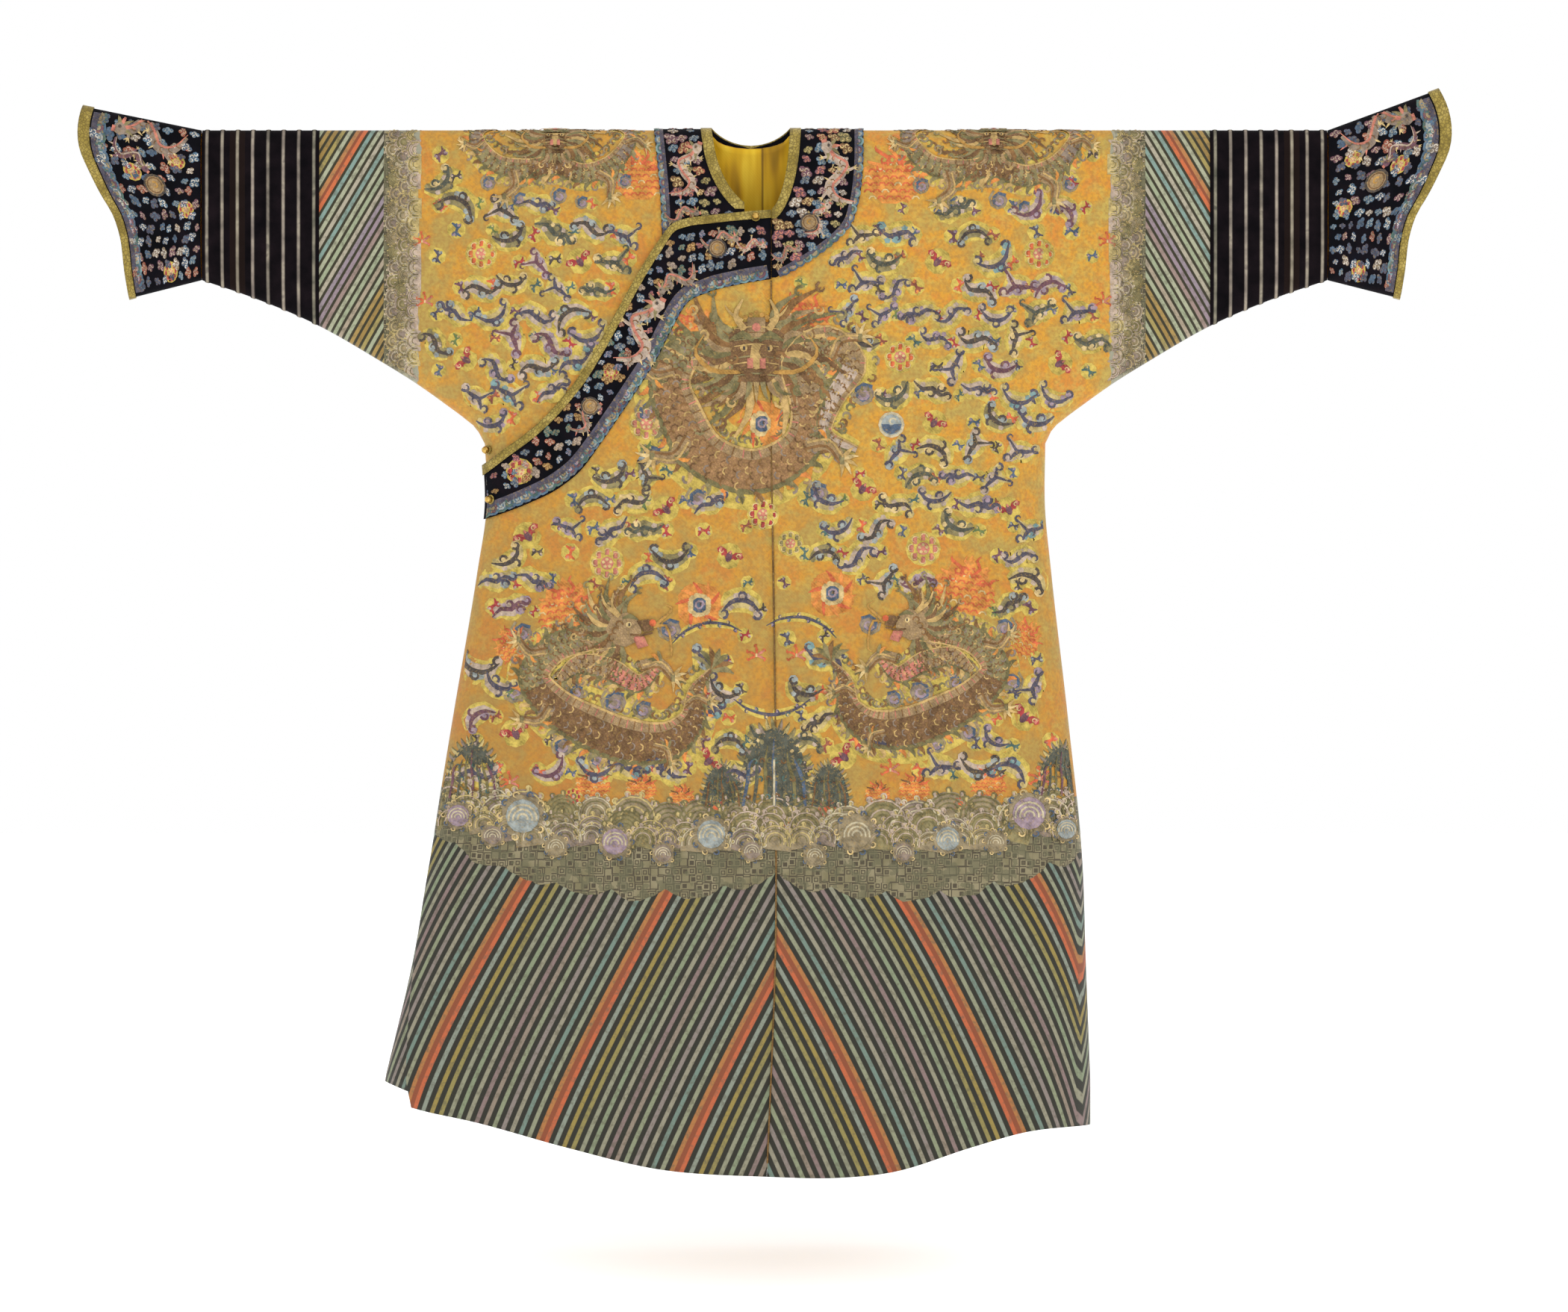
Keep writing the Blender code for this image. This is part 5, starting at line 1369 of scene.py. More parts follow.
def smallDragon(pen, main="pearl", second="rose"):
    # the slim dragon of the dark bands
    path = curve(
        ((-1.0, 0.28), (-0.72, -0.18), (-0.34, -0.28), (-0.08, 0.1), (0.22, 0.34), (0.52, 0.06), (0.78, -0.06)), 22)
    ribbon(pen, path, (0.04, 0.13, 0.17, 0.16, 0.15, 0.12), main, 5, 8)
    ribbon(pen, path + (0.0, 0.1), (0.01, 0.04, 0.04, 0.02), second, 13)
    for step in range(8):
        point, turn = alongPath(path, 0.1 + 0.1 * step)
        ribbon(pen, arc(*point, 0.09, turn - 80, turn + 80, 3), 0.016, "umber", 14, 1)
        tip = point + polar(0.3, turn - 100)
        ribbon(pen, (point, (point + tip) / 2, tip), (0.05, 0.035, 0.006), "cream" if step % 2 else second, 3)
    for x, y, turn in ((-0.5, -0.25, 250), (0.1, 0.25, 100), (0.45, 0.1, 290), (-0.2, -0.1, 40)):
        foot = np.array((x, y)) + polar(0.36, turn)
        stroke(pen, ((x, y), (np.array((x, y)) + foot) / 2 + polar(0.06, turn + 90), foot), 4, (0.08, 0.05, 0.04),
               main, 9)
        for splay in (-40, 0, 40):
            ribbon(pen, (foot, foot + polar(0.07, turn + splay), foot + polar(0.14, turn + splay)),
                   (0.03, 0.02, 0.005), "cream", 12)
    for turn in (60, 95, 130, 165, 200):
        tip = np.array((0.8, -0.02)) + polar(0.4, turn)
        stroke(pen, ((0.8, -0.02), (np.array((0.8, -0.02)) + tip) / 2 + (0.02, 0.04), tip), 4, (0.06, 0.05, 0.01),
               second if turn % 10 else "sage", 12)
    disc(pen, 0.84, -0.04, 0.18, main, 16, 8)
    disc(pen, 1.02, -0.08, 0.1, "rose", 19, 6)
    disc(pen, 0.86, 0.02, 0.05, "ink", 24, 5)


def rock(pen, ground, inner, spikes=21):
    # a standing rock, wider at its foot, ribbed, with a fringe of fern-like spikes
    side = [(0.94, -1.0), (0.88, -0.55), (0.76, -0.1), (0.66, 0.28), (0.46, 0.6), (0.22, 0.8)]
    outline = side + [(0.0, 0.88)] + [(-x, y) for x, y in reversed(side)]
    for step in range(spikes):
        root, turn = alongPath(np.array(outline), (step + 0.5) / spikes)
        out = polar(1.0, turn - 90)
        tip = root + out * 0.19 + (0, 0.07)
        stroke(pen, (root - out * 0.08, root + out * 0.1, tip), 3, (0.07, 0.05, 0.006),
               ("haze", "sage", "fern")[step % 3], 3)
        stroke(pen, (root - out * 0.06 + (0, 0.06), root + out * 0.07 + (0, 0.07), tip * 0.97 + (0, 0.05)), 3,
               (0.035, 0.03, 0.005), "moss", 2)
    patch(pen, outline, ground, 6)
    for step in range(-3, 4):
        x = step * 0.22
        tall = 0.62 - 0.16 * abs(step)
        stroke(pen, ((x * 1.12, -0.98), (x + 0.03, -0.4), (x * 0.85 - 0.03, 0.0), (x * 0.7, tall)), 6,
               (0.035, 0.045, 0.012), (inner, "deep", "moss")[step % 3], 10)
        for rise in range(3):
            curl(pen, x * (1 - 0.1 * rise) + 0.06, -0.75 + 0.42 * rise, 0.07, 60 * step + 50 * rise,
                 ("umber", "moss", "teal")[(step + rise) % 3], 0.022, 13)


def billow(pen, ground, line, lift):
    # a breaking wave: a rounded ground under nested arcs, with curled foam on its lip
    patch(pen, np.concatenate((arc(0, 0, 1.0, 0, 180, 12), ((-0.98, -0.5), (0.98, -0.5)))), ground, lift, 5)
    for step, share in enumerate((0.93, 0.73, 0.53, 0.33)):
        ribbon(pen, arc(0, -0.02, share, -14, 194, 9), 0.034, line if step % 2 == 0 else "moss", lift + 6, 2)
    for turn in (12, 45, 78, 111, 144, 172):
        x, y = polar(1.05, turn)
        disc(pen, x, y, 0.14, "dove" if turn % 2 else "fern", lift + 5, 6)
        curl(pen, x, y, 0.16, turn - 120, line, 0.035, lift + 8, 240)


def foam(pen, heart):
    disc(pen, 0, 0, 1.0, "mist", 18, 14)
    disc(pen, 0, 0, 0.74, heart, 22, 12)
    for share in (0.62, 0.42, 0.22):
        ribbon(pen, arc(0, -0.12, share, -10, 190, 8), 0.045, "white", 26, 2)
    for turn in range(0, 360, 36):
        x, y = polar(0.95, turn)
        curl(pen, x, y, 0.17, turn - 90, "cream" if turn % 72 else "slate", 0.04, 26)


def cloudlet(pen, ground, light):
    # a cluster of rounded dabs
    dabs = ((0, 0.12, 0.5), (0.56, -0.02, 0.4), (-0.54, -0.05, 0.42), (0.06, -0.46, 0.38))
    for step, (x, y, radius) in enumerate(dabs):
        disc(pen, x, y, radius, ground, 3 + step, 7)
        curl(pen, x, y, radius * 0.62, 40 + 80 * step, light, 0.07, 8 + step)


def laidOn(name, sheets, place=None):
    # joins the flat drawing and turns it into relief on the cloth, its faces outwards
    place = place or onCloth(onPanels)
    mesh = bpy.data.meshes.new(name)
    bm = bmesh.new()
    for sheet in sheets:
        sheet.to_mesh(mesh)
        sheet.free()
        bm.from_mesh(mesh)
    bm.verts.ensure_lookup_table()
    origin, step = bm.verts[0].co.copy(), 0.002
    corners = [origin] + [origin + Vector(axis) * step for axis in ((1, 0, 0), (0, 1, 0), (0, 0, 1))]
    near = place(*(np.array(column) for column in zip(*corners)))
    outward = 1 if np.dot(np.cross(near[1] - near[0], near[2] - near[0]), near[3] - near[0]) > 0 else -1
    bm.normal_update()
    bmesh.ops.reverse_faces(bm, faces=[face for face in bm.faces if face.normal.z * outward < 0])
    flat = np.array([vert.co for vert in bm.verts])
    for vert, point in zip(bm.verts, place(*flat.T)):
        vert.co = point
    bm.to_mesh(mesh)
    bm.free()
    for floss in flosses:
        mesh.materials.append(floss)
    piece = added(name, mesh)
    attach(piece, "root")
    print(name, sum(len(face.vertices) - 2 for face in mesh.polygons), "triangles")


edgeMargin = {"side": 0.005, "underarm": 0.006}


def heldOnCloth(across, along):
    # pulls in what would reach past the sides or the underarm
    drop = dropAlong(np.abs(along))
    low = drop > form["armpitDrop"]
    reach = halfWidth(across, np.maximum(drop, form["armpitDrop"])) - edgeMargin["side"]
    under = np.where(np.abs(across) > form["armpitAcross"], underarmDrop(across) - edgeMargin["underarm"], 9.0)
    across = np.where(low, np.clip(across, -reach, reach), across)
    drop = np.where(low, drop, np.minimum(drop, under))
    return across, np.sign(along) * alongOf(drop)


def onCloth(levelAt):
    def place(across, along, lift):
        step = 0.0015
        across, along = heldOnCloth(across, along)
        point = clothAlong(across, along)
        acrossRun = clothAlong(across + step, along) - clothAlong(across - step, along)
        alongRun = clothAlong(across, along + step) - clothAlong(across, along - step)
        normal = np.cross(alongRun, acrossRun)
        normal /= np.linalg.norm(normal, axis=1)[:, None]
        return point + normal * (levelAt(across, along) + lift)[:, None]

    return place


def onPanels(across, along):
    drop = dropAlong(np.abs(along))
    overlapped = (along > 0) & (across < seamAcross(drop)) & (drop > overlapEdge(across))
    return layers["panel"] + np.where(overlapped, overlapLevel(across, drop), 0)


def onOverlapBand(across, along):
    drop = dropAlong(np.abs(along))
    return overlapLevel(across, drop) + stripLevel(layers["onPanel"], across, drop) + layers["band"]


def onCollar(across, along):
    return np.full(len(across), layers["onPanel"] + layers["band"])


cuffSpan = {"across": 0.15, "down": 0.225}


def onCuff(half, face):
    # across in metres from the seam, down in metres from the top fold
    def place(across, down, lift):
        def flatAt(across, down):
            share, level = across / cuffSpan["across"], down / cuffSpan["down"]
            return cuffPoints(half, face, np.clip(share, 0.01, 0.97), np.clip(level, 0.012, 0.988))

        step = 0.001
        point = flatAt(across, down)
        downRun = flatAt(across, down + step) - flatAt(across, down - step)
        normal = np.cross(downRun, flatAt(across + step, down) - flatAt(across - step, down))
        normal /= np.maximum(np.linalg.norm(normal, axis=1), 1e-12)[:, None]
        normal *= np.where(normal[:, 1] * face < 0, -1, 1)[:, None]
        return point + normal * (layers["panel"] + lift)[:, None]

    return place


# Where the motifs of each face lie: across, drop and size in millimetres, then turn, flip or thread
facePlans = {
    front: planInMetres({
        "chest": ((-14, 368, 146),),
        "dragons": ((-210, 744, 130, 0, 1), (218, 732, 120, 0, -1)),
        "shoulder": ((-285, 24, 112), (312, 24, 122)),
        "flames": ((-96, 276, 36, 8), (52, 262, 40, -10), (-268, 650, 40, 10), (272, 622, 42, -10), (-172, 60, 38, 0),
                   (176, 62, 42, 0), (-340, 700, 26, 40), (350, 690, 26, -40)),
        "pearls": ((-88, 646, 16), (92, 630, 16), (-3, 400, 17)),
        "bats": (
            (-251, 179, 19, 30), (235, 179, 19, -35), (-406, 312, 18, 60), (401, 317, 18, -60), (230, 398, 18, -30),
            (-133, 516, 19, 40), (133, 488, 19, -30), (-320, 552, 20, 35), (-48, 580, 19, -20), (331, 516, 18, 20),
            (-337, 820, 21, 20), (-75, 857, 20, -50), (107, 851, 20, 50), (352, 798, 21, -40)),
        "roundels": (
            (-213, 589, 24, "rose"), (215, 569, 24, "rose"), (-2, 523, 22, "red"), (184, 309, 22, "coral"),
            (-385, 168, 22, "coral"), (373, 168, 22, "coral"), (-160, 400, 24, "rose"), (35, 562, 18, "sage")),
        "sprays": ((-466, 150, 14), (-462, 232, 14), (466, 150, 14), (460, 232, 14), (-345, 885, 16), (372, 880, 18),
                   (-11, 713, 16), (43, 713, 16), (170, 868, 16)),
        "longs": ((-80, 678, 48, 10, 1), (52, 670, 48, -10, -1), (10, 786, 52, 180, 1)),
        "discs": ((172, 401, 15.5),),
    }),
    back: planInMetres({
        "chest": ((-4, 340, 150),),
        "dragons": ((-210, 744, 130, 0, 1), (210, 744, 130, 0, -1)),
        "shoulder": (),
        "flames": ((-120, 210, 36, 8), (115, 210, 36, -10), (-268, 650, 40, 10), (268, 640, 42, -10),
                   (-340, 710, 26, 40), (340, 710, 26, -40)),
        "pearls": ((-88, 640, 16), (84, 640, 16), (7, 372, 17)),
        "bats": (
            (-245, 215, 19, 30), (245, 215, 19, -35), (-400, 290, 18, 60), (400, 290, 18, -60), (250, 398, 18, -30),
            (-250, 398, 18, 30), (-133, 536, 19, 40), (133, 536, 19, -30), (-310, 540, 20, 35), (310, 540, 18, 20),
            (-337, 820, 21, 20), (-75, 857, 20, -50), (75, 857, 20, 50), (337, 820, 21, -40)),
        "roundels": ((-213, 589, 24, "rose"), (213, 589, 24, "rose"), (-4, 523, 22, "red"), (-385, 168, 22, "coral"),
                     (385, 168, 22, "coral"), (-210, 300, 22, "coral"), (210, 300, 22, "coral")),
        "sprays": ((-466, 150, 14), (-462, 232, 14), (466, 150, 14), (462, 232, 14), (-345, 885, 16), (345, 885, 18)),
        "longs": ((-80, 678, 48, 10, 1), (76, 670, 48, -10, -1), (-4, 786, 52, 180, 1)),
        "discs": ((172, 401, 15.5), (-172, 401, 15.5)),
    }),
}
cloudThreads = threadSets(
    "navy fern sky, navy fern lilac, ink sage sky, navy fern aqua, navy dove fern, ink fern cream, "
    "plum dove lilac, deep sage cream, navy fern dove, ink dove sky")
fleckThreads = threadSets(
    "coral rose, navy sky, teal fern, red dove, plum lilac, green fern, russet orange, ink dove, slate lilac")


def keptClear(plan, across, drop, size):
    x, at, _ = plan["chest"][0]
    fits = math.hypot((across - x) / 0.16, (drop - at + 0.004) / 0.146) > 1
    for x, at, reach, *_ in plan["dragons"]:
        fits = fits and math.hypot(
            (across - x) / (reach * 0.92 + size * 0.6), (drop - at) / (reach * 0.84 + size * 0.4)) > 1
    for x, at, reach in plan["shoulder"]:
        fits = fits and math.hypot(
            (across - x) / (reach * 1.05 + size * 0.7), (drop - at) / (reach * 0.56 + size * 0.6)) > 1
    for x, at, reach, *_ in plan["flames"] + plan["bats"] + plan["roundels"] + plan["sprays"] + plan["discs"]:
        fits = fits and math.hypot(across - x, drop - at) > reach * 0.95 + size * 0.75
    for x, at, reach, *_ in plan["pearls"] + plan["longs"]:
        fits = fits and math.hypot(across - x, drop - at) > reach * (2.0 if reach < 0.03 else 0.55) + size * 0.5
    return fits


# Where the clouds stop: above the waves, at the sleeve ends, round the collar and beside the seams and the band.
groundEnds = {"foot": 0.892, "sleeve": 0.452, "collar": {front: 0.23, back: 0.13}, "besideCollar": 0.02,
              "seam": 0.014, "bandEnd": 0.03, "overBand": 0.024, "underBand": 0.018}


def insideRobe(across, drop, margin=0.022):
    if drop > form["armpitDrop"]:
        return abs(across) < float(halfWidth(across, drop)) - margin and drop < groundEnds["foot"]
    if abs(across) > groundEnds["sleeve"]:
        return False
    return abs(across) < form["armpitAcross"] - 0.01 or drop < float(underarmDrop(across)) - margin - 0.008


def onGround(face, across, drop):
    if not insideRobe(across, drop):
        return False
    along = -face * float(alongOf(drop))
    right, left = (collarOuter(half, along) + half * groundEnds["besideCollar"] for half in (rightHalf, leftHalf))
    if drop < groundEnds["collar"][face] and right < across < left:
        return False
    if face == front and across < groundEnds["bandEnd"]:
        top, foot = float(overlapEdge(across)), float(overlapTrim(across))
        if top - groundEnds["overBand"] < drop < foot + groundEnds["underBand"]:
            return False
    seam = float(seamAcross(drop)) if face == front else form["backSeam"]
    return abs(across - seam) > groundEnds["seam"]


# Clouds stand in staggered rows, and flecks in the same rows half a place on. Sizes run from least to most.
scatter = {"rows": 25, "reach": 11, "across": 0.052, "down": 0.0365, "top": 0.03, "lean": 40, "upsideDown": 0.4,
           "cloud": (0.0235, 0.03), "fleck": (0.0095, 0.0135)}


def scatterClouds(name, face, plan, seed):
    pick = random.Random(seed)
    sheets, count = [], 0
    places = [(row, column) for row in range(scatter["rows"])
              for column in range(-scatter["reach"], scatter["reach"] + 1)]

    def placeOf(row, column, wander, fall):
        across = (column + 0.5 * (row % 2)) * scatter["across"] + pick.uniform(-wander, wander)
        return across, scatter["top"] + row * scatter["down"] + pick.uniform(-fall, fall)

    for row, column in places:
        across, drop = placeOf(row, column, 0.007, 0.006)
        size = pick.uniform(*scatter["cloud"])
        kind = pick.choice(cloudForms)
        dark, pale, light = pick.choice(cloudThreads)
        turn = pick.uniform(-scatter["lean"], scatter["lean"]) + (180 if pick.random() < scatter["upsideDown"] else 0)
        if onGround(face, across, drop) and keptClear(plan, across, drop, size):
            spot = spotAt(across, drop, size, turn, 1 if across < 0 else -1, face)
            cloud((sheets, spot), kind, dark, pale, light)
            count += 1
    for row, column in places:
        across, drop = placeOf(row, column + 0.5, 0.006, 0.005)
        size, turn = pick.uniform(*scatter["fleck"]), pick.uniform(-90, 90)
        main, light = pick.choice(fleckThreads)
        if onGround(face, across, drop) and keptClear(plan, across, drop, size - 0.006):
            fleck((sheets, spotAt(across, drop, size, turn, 1, face)), main, light)
            count += 1
    print("clouds and flecks", count)
    laidOn(name, sheets)


# Rocks, foam, red blossoms and sprigs at the hem: across from the seam, drop, size, threads
wavePlan = planInMetres({
    "billows": ((930, 46, 28), (946, 40, 25), (961, 36, 21)),  # drop of a row, pitch, size
    "rocks": ((0, 862, 57, "deep", "slate"), (-70, 888, 31, "deep", "umber"), (74, 888, 31, "deep", "umber"),
              (-407, 868, 41, "deep", "plum"), (389, 868, 37, "deep", "plum")),
    "foams": (
        (-340, 932, 31, "sky"), (-85, 956, 26, "sky"), (112, 954, 28, "mist"), (345, 928, 30, "lilac"),
        (-215, 966, 24, "lilac"), (235, 962, 22, "sky"), (-425, 932, 20, "lilac"), (-295, 972, 17, "mist"),
        (-150, 982, 16, "haze"), (-30, 978, 16, "haze"), (55, 984, 17, "mist"), (175, 980, 16, "haze"),
        (300, 966, 17, "mist"), (395, 950, 18, "sky"), (-380, 958, 17, "haze")),
    "reds": ((-78, 920, 13), (10, 945, 15), (72, 922, 14), (252, 915, 11), (-272, 905, 12)),
    "shoots": ((-245, 886, 24), (-180, 892, 21), (190, 892, 21), (290, 886, 24), (-125, 905, 17), (140, 900, 17)),
})
billowThreads = threadSets("mist fern, haze white, sage dove, mist moss, haze fern, sage moss, mist white")
lipThreads = threadSets("dove haze, fern white, dove white, fern mist")


def sewWaves(name, face, middle, spread, seed):
    # rows of breaking waves with rocks and foam among them
    pick = random.Random(seed)
    sheets = []

    def at(across, drop, size, turn=0.0):
        return spotAt(middle + across, drop, size, turn, 1, face)

    addMotifs(sheets, lambda pen: flames(pen, "coral", "umber"), wavePlan["shoots"], at)
    addMotifs(sheets, rock, wavePlan["rocks"], at)
    for row, (start, pitch, size) in enumerate(wavePlan["billows"]):
        count = int(2 * spread / pitch)
        for step in range(count):
            across = -spread + (step + 0.5 * (row % 2) + pick.uniform(-0.15, 0.15)) * 2 * spread / count
            drop = start + 0.1 * abs(across) - 0.34 * across * across + pick.uniform(-0.006, 0.006)
            ground, line = pick.choice(billowThreads)
            spot = at(across, drop, size * pick.uniform(0.85, 1.2), pick.uniform(-14, 14))
            billow((sheets, spot), ground, line, 3 + 4 * row)
    addMotifs(sheets, foam, wavePlan["foams"], at)
    addMotifs(sheets, lambda pen: roundel(pen, "red", "coral", "coral"), wavePlan["reds"], at)
    ribbon((sheets, at(0.0, 0.87, 0.05)), ((0.0, 0.3), (0.0, -0.2), (0.0, -0.95)), 0.03, "white", 16)
    laidOn(name, sheets)


def sewSeam(name, face, acrossAt, start, end):
    # the line where the two halves are joined, over the ground and again over the coils
    sheets = []
    drops = np.linspace(start, end, 70)
    for rows, lift in ((drops, 4), (drops[(drops > 0.425) & (drops < 0.505)], 19)):
        path = np.stack((acrossAt(rows), -face * alongOf(rows)), axis=1)
        ribbon((sheets, asDrawn), path, 0.0011, "seam", lift, 1)
    laidOn(name, sheets)


# the motifs of a face that are one piece
faceGroups = {
    "chest_dragon": (("chest", facingDragon), ("pearls", pearl)),
    "dragons": (("dragons", sideDragon), ("shoulder", shoulderDragon)),
    "symbols": (("flames", flames), ("bats", bat), ("roundels", roundel), ("sprays", spray), ("discs", moonDisc),
                ("longs", longCloud)),
}


def sewFace(side, face, middle, seed):
    plan = facePlans[face]
    for name, kinds in faceGroups.items():
        sheets = []
        for kind, motif in kinds:
            addMotifs(sheets, motif, plan[kind], face=face)
        laidOn(side + "_" + name, sheets)
    sewWaves(side + "_waves", face, middle, 0.432, seed)
    scatterClouds(side + "_clouds", face, plan, seed + 2)


sewFace("front", front, 0.013, 3)
sewFace("back", back, form["backSeam"], 8)
sewSeam("front_seam", front, seamAcross, 0.205, 1.4)
sewSeam("back_seam", back, lambda drops: np.full(len(drops), form["backSeam"]), 0.125, 1.38)
print("robe embroidered")


bandThreads = threadSets(
    "slate sky, teal mist, blueDab sky, haze dove, plum rose, slate lilac, bark straw, blueDab frost, russet dove, "
    "slate frost")
collarThreads = threadSets(
    "haze frost, plum rose, russet cream, slate sky, moss fern, plum dove, tan cream, blueDab sky")
cuffThreads = threadSets(
    "slate frost, blueDab sky, navy blueDab, haze frost, slate blueDab, plum dove, blueDab frost, navy slate, "
    "russet dove")

# The dabs, dragons, gold discs and flowers of the dark bands: across, drop, size, turn, flip, threads
bandPlan = {
    "pitch": 0.0145, "dab": 0.0074, "columns": 28, "start": -0.376, "columnPitch": 0.0138, "top": 0.016,
    "trim": 0.009, "setIn": 0.0105, "trimFrom": -0.378, "trimTo": 0.006,
    "dragons": ((-0.165, 0.275, 0.05, 62, 1, "dove"), (-0.118, 0.206, 0.03, 30, -1, "haze"),
                (-0.24, 0.392, 0.026, 50, 1, "haze"), (-0.06, 0.152, 0.026, 10, 1, "haze"),
                (-0.018, 0.158, 0.02, 0, 1, "dove")),
    "discs": ((-0.064, 0.162, 0.0105), (-0.236, 0.376, 0.0105)),
    "flowers": ((-0.33, 0.464, 0.018), (-0.208, 0.33, 0.011)),
}
collarPlan = {
    "pitch": 0.0145, "dab": 0.0079, "backStart": -0.104, "trimStart": -0.112, "inside": 0.019, "outside": 0.016,
    "trim": 0.0055, "setIn": 0.0065, "feet": {rightHalf: (0.132, 0.146), leftHalf: (0.186, 0.196)},
    "dragons": ((-0.104, 0.056, 0.038, 70, 1, "dove"), (0.096, 0.06, 0.044, -75, -1, "dove"),
                (-0.112, 0.116, 0.024, 10, 1, "haze"), (0.074, 0.122, 0.026, 60, 1, "dove"),
                (0.03, 0.168, 0.02, 20, 1, "haze")),
    "backDragons": ((-0.092, 0.05, 0.03, 90), (0.086, 0.05, 0.03, 90)),
    "discs": ((0.061, 0.126, 0.0105),),
}
cuffPlan = {
    "pitch": 0.016, "rowPitch": 0.0168, "dab": 0.0082, "rows": 13, "columns": 8, "start": 0.008, "top": 0.01,
    "trim": 0.0085, "trimAt": 0.1255, "trimTop": 0.004, "trimFoot": 0.221,
    "dragons": ((0.062, 0.022, 0.044, 8, 1, "haze", "rose"), (0.088, 0.052, 0.026, 40, -1, "plum", "dove")),
    "discs": ((0.064, 0.088, 0.0125),),
    "flowers": ((0.09, 0.072, 0.012), (0.024, 0.12, 0.013), (0.06, 0.205, 0.014), (0.03, 0.052, 0.011)),
}


def redFlower(pen):
    roundel(pen, "red", "rose", "cream")


def goldDisc(pen):
    disc(pen, 0, 0, 1.25, "ink", 16, 12)
    disc(pen, 0, 0, 1.0, "pearl", 20, 12)
    ribbon(pen, arc(0, 0, 0.82, 0, 360, 12), 0.06, "umber", 26, 1)
    curl(pen, 0, 0, 0.4, 60, "gold", 0.1, 26)


def dabbed(sheets, places, pick, size, dabs, spotFor=spotAt):
    for across, drop in places:
        ground, light = pick.choice(dabs)
        across, drop = across + pick.uniform(-0.0022, 0.0022), drop + pick.uniform(-0.0022, 0.0022)
        spot = spotFor(across, drop, size * pick.uniform(0.72, 1.2), pick.uniform(-90, 90))
        cloudlet((sheets, spot), ground, light)


def edgeWaves(sheets, path, half, sideOf, pitch=0.0115):
    # a pale trim of nested arcs along the outer side of a band
    path, pen = np.array(path), (sheets, asDrawn)
    ribbon(pen, path, half, "navy", 3, 3)
    pick = random.Random(7)
    run = np.gradient(path, axis=0)
    lengths = np.concatenate(((0,), np.cumsum(np.linalg.norm(np.diff(path, axis=0), axis=1))))
    for step in range(int(lengths[-1] / pitch)):
        at = (step + 0.5) * pitch
        x, y, xRun, yRun = (np.interp(at, lengths, column) for column in (*path.T, *run.T))
        turn = math.degrees(math.atan2(yRun, xRun))
        start = (turn if sideOf > 0 else turn + 180) + pick.uniform(-25, 25)
        for share, names in ((1.0, ("blueDab", "teal", "aqua", "slate")), (0.62, ("sky", "teal", "plum", "mist")),
                             (0.24, ("sky", "lilac", "mist"))):
            thread = pick.choice(names)
            ribbon(pen, arc(x, y, half * 1.05 * share, start, start + 180, 5), 0.0015, thread, 8, 2)


def sewCollar():
    pick = random.Random(12)
    pitch, size = collarPlan["pitch"], collarPlan["dab"]
    sheets = []
    places = []
    for half, (foot, trimFoot) in collarPlan["feet"].items():
        ends = (collarPlan["backStart"], float(alongOf(foot)))
        for step in range(int((ends[1] - ends[0]) / pitch) + 1):
            along = ends[0] + step * pitch
            inner = neckAcross(half, along, collarPlan["inside"])
            outer = collarOuter(half, along) - half * collarPlan["outside"]
            count = int(abs(outer - inner) / pitch)
            places += [(inner + (outer - inner) * (index + 0.5) / count + pick.uniform(-0.002, 0.002), along)
                       for index in range(count)]
        rows = np.linspace(collarPlan["trimStart"], float(alongOf(trimFoot)), 60)
        trim = [(collarOuter(half, along) - half * collarPlan["setIn"], along) for along in rows]
        edgeWaves(sheets, trim, collarPlan["trim"], -half)
    for across, along in places:
        ground, light = pick.choice(collarThreads)
        reach, lean = size * pick.uniform(0.72, 1.2), pick.uniform(-0.8, 0.8)

        def leaning(x, y, across=across, along=along + pick.uniform(-0.002, 0.002)):
            return across + reach * (x + lean * y), along - reach * (y - lean * x)

        cloudlet((sheets, leaning), ground, light)
    addMotifs(sheets, smallDragon, collarPlan["dragons"])
    addMotifs(sheets, smallDragon, collarPlan["backDragons"], face=back)
    addMotifs(sheets, goldDisc, collarPlan["discs"])
    laidOn("collar_embroidery", sheets, onCloth(onCollar))


def sewBand():
    pick = random.Random(21)
    pitch = bandPlan["pitch"]
    sheets = []
    places = []

    def slopeAt(across):
        return (overlapTrim(across + 0.004) - overlapTrim(across - 0.004)) / 0.008

    for column in range(bandPlan["columns"]):
        across = bandPlan["start"] + column * bandPlan["columnPitch"]
        top, foot = float(overlapEdge(across)), float(overlapTrim(across))
        room = foot - 0.026 * math.hypot(1, float(slopeAt(across))) - top - 0.014
        count = int(room / pitch)
        places += [(across + pick.uniform(-0.002, 0.002), top + bandPlan["top"] + room * (index + 0.5) / count)
                   for index in range(count)]
    dabbed(sheets, places, pick, bandPlan["dab"], bandThreads)
    columns = np.linspace(bandPlan["trimFrom"], bandPlan["trimTo"], 90)
    slopes = slopeAt(columns)
    setIn = bandPlan["setIn"] / np.hypot(1, slopes)
    edge = np.stack((columns + slopes * setIn, alongOf(overlapTrim(columns)) - setIn), axis=1)
    edgeWaves(sheets, edge, bandPlan["trim"], 1)
    addMotifs(sheets, smallDragon, bandPlan["dragons"])
    addMotifs(sheets, goldDisc, bandPlan["discs"])
    addMotifs(sheets, redFlower, bandPlan["flowers"])
    laidOn("band_embroidery", sheets, onCloth(onOverlapBand))


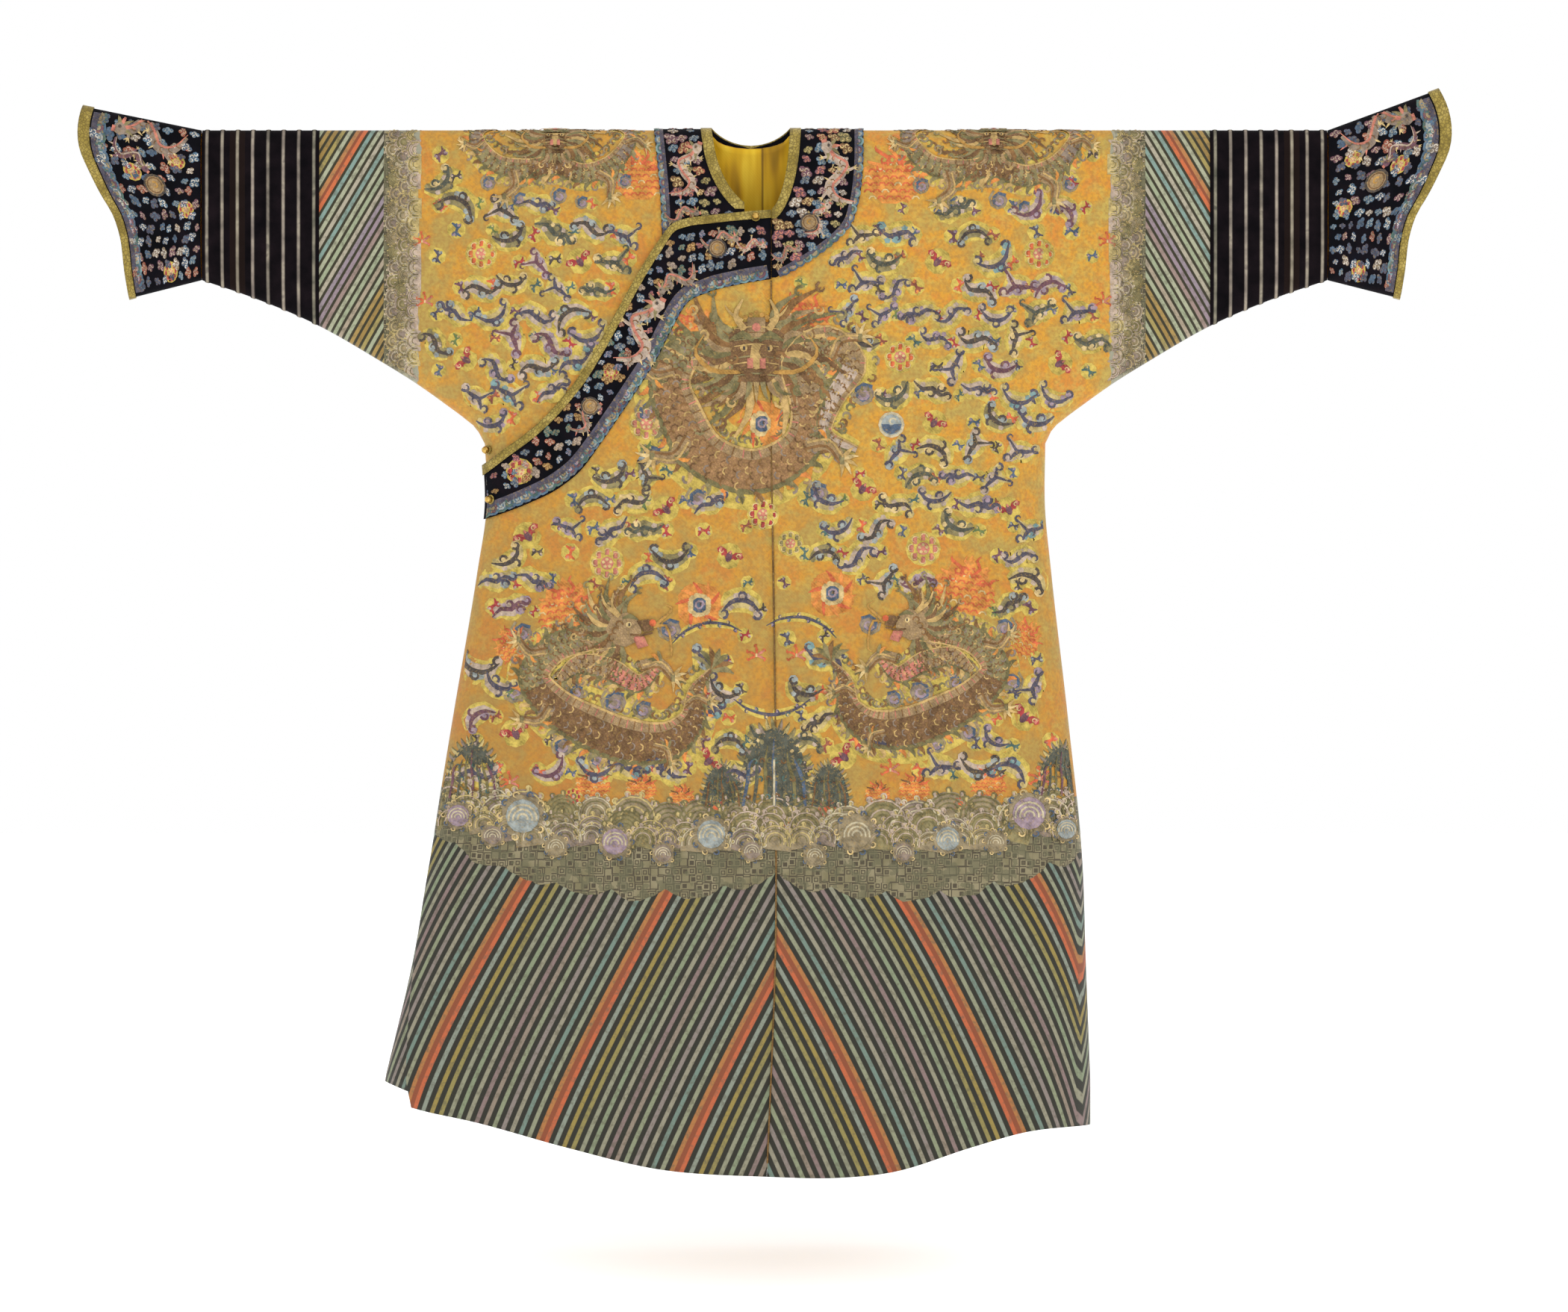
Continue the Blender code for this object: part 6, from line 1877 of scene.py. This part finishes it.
def sewCuffs():
    pitch, rowPitch = cuffPlan["pitch"], cuffPlan["rowPitch"]
    for half, side in ((rightHalf, "right"), (leftHalf, "left")):
        for face, name in ((front, "front"), (back, "back")):
            pick = random.Random(31 + half + 2 * face)
            sheets = []
            places = [(cuffPlan["start"] + column * pitch + (row % 2) * pitch / 2 + pick.uniform(-0.002, 0.002),
                       cuffPlan["top"] + row * rowPitch)
                      for row in range(cuffPlan["rows"]) for column in range(cuffPlan["columns"])]
            dabbed(sheets, places, pick, cuffPlan["dab"], cuffThreads, cuffSpot)
            downs = np.linspace(cuffPlan["trimTop"], cuffPlan["trimFoot"], 50)
            edgeWaves(sheets, [(cuffPlan["trimAt"], down) for down in downs], cuffPlan["trim"], 1)
            addMotifs(sheets, smallDragon, cuffPlan["dragons"], cuffSpot)
            addMotifs(sheets, goldDisc, cuffPlan["discs"], cuffSpot)
            addMotifs(sheets, redFlower, cuffPlan["flowers"], cuffSpot)
            laidOn("cuff_embroidery_" + side + "_" + name, sheets, onCuff(half, face))


sewCollar()
sewBand()
sewCuffs()
print("bands embroidered")


# reach along the arm and size of each row, the rest in metres of drop
sleevePlan = {"rows": ((0.476, 0.014), (0.491, 0.012), (0.503, 0.011)), "top": 0.006, "pitch": 0.02, "count": 17,
              "underarm": 0.012}


def sewSleeveWaves():
    # scallops of foam where the wave band of each sleeve meets the ground
    pick = random.Random(40)
    sheets = []
    for face in (front, back):
        for half in (rightHalf, leftHalf):
            for row, (reach, size) in enumerate(sleevePlan["rows"]):
                for step in range(sleevePlan["count"]):
                    drop = sleevePlan["top"] + (step + 0.5 * (row % 2)) * sleevePlan["pitch"]
                    if drop < float(underarmDrop(reach)) - sleevePlan["underarm"]:
                        pairs = billowThreads if row else lipThreads
                        ground, line = pick.choice(pairs)
                        across = half * (reach + pick.uniform(-0.003, 0.003))
                        spot = spotAt(across, drop, size, half * face * 90, 1, face)
                        billow((sheets, spot), ground, line, 3 + 4 * row)
    laidOn("sleeve_waves", sheets)


sewSleeveWaves()

stage = {"floorDrop": 1.548, "distance": 14.0, "middle": (0.0264, -0.7146), "viewWidth": 2.136, "rise": 0.07,
         "riseOver": 0.22, "reach": 30.0, "glow": 0.36}
floorMesh = bpy.data.meshes.new("floor")
bm = bmesh.new()
bmesh.ops.create_grid(bm, x_segments=1, y_segments=240, size=stage["reach"])
for vert in bm.verts:  # closer rows towards the robe, where the paper rises a little
    vert.co.y = stage["reach"] * (vert.co.y / stage["reach"]) ** 5
    vert.co.z = stage["rise"] * math.tanh(vert.co.y / stage["riseOver"]) - stage["floorDrop"]
bm.to_mesh(floorMesh)
bm.free()
floorMesh.shade_smooth()
floor = added("floor", floorMesh)
paper = bpy.data.materials.new("white paper floor")
paper.use_nodes = True
feed(paper.node_tree.nodes["Principled BSDF"], {"Base Color": "#FFFFFF", "Roughness": 0.9,
                                                "Emission Color": "#FFFFFF", "Emission Strength": stage["glow"]})
floor.data.materials.append(paper)
world = bpy.data.worlds.new("studio")
bpy.context.scene.world = world
world.use_nodes = True
feed(world.node_tree.nodes["Background"], {"Color": "#FFFFFF", "Strength": 1.0})
lamps = (("overhead", (0.2, -1.2, 3.4), (0.0, 0.0, -0.8), 2.6, 9),
         ("right_soft", (3.0, -3.5, 2.0), (0.2, 0, -0.4), 2.0, 16))
for name, place, aim, size, power in lamps:
    lamp = bpy.data.lights.new(name, "AREA")
    lamp.size, lamp.energy = size, power
    holder = added(name, lamp)
    holder.location = place
    holder.rotation_euler = (Vector(aim) - Vector(place)).to_track_quat("-Z", "Y").to_euler()
lens = bpy.data.cameras.new("front camera")
lens.sensor_width = 36
lens.lens = 36 * stage["distance"] / stage["viewWidth"]
camera = added("front camera", lens)
camera.location = (stage["middle"][0], -stage["distance"], stage["middle"][1])
camera.rotation_euler = (math.pi / 2, 0, 0)
bpy.context.scene.camera = camera
bpy.context.scene.view_settings.view_transform = "Standard"
print("stage set")
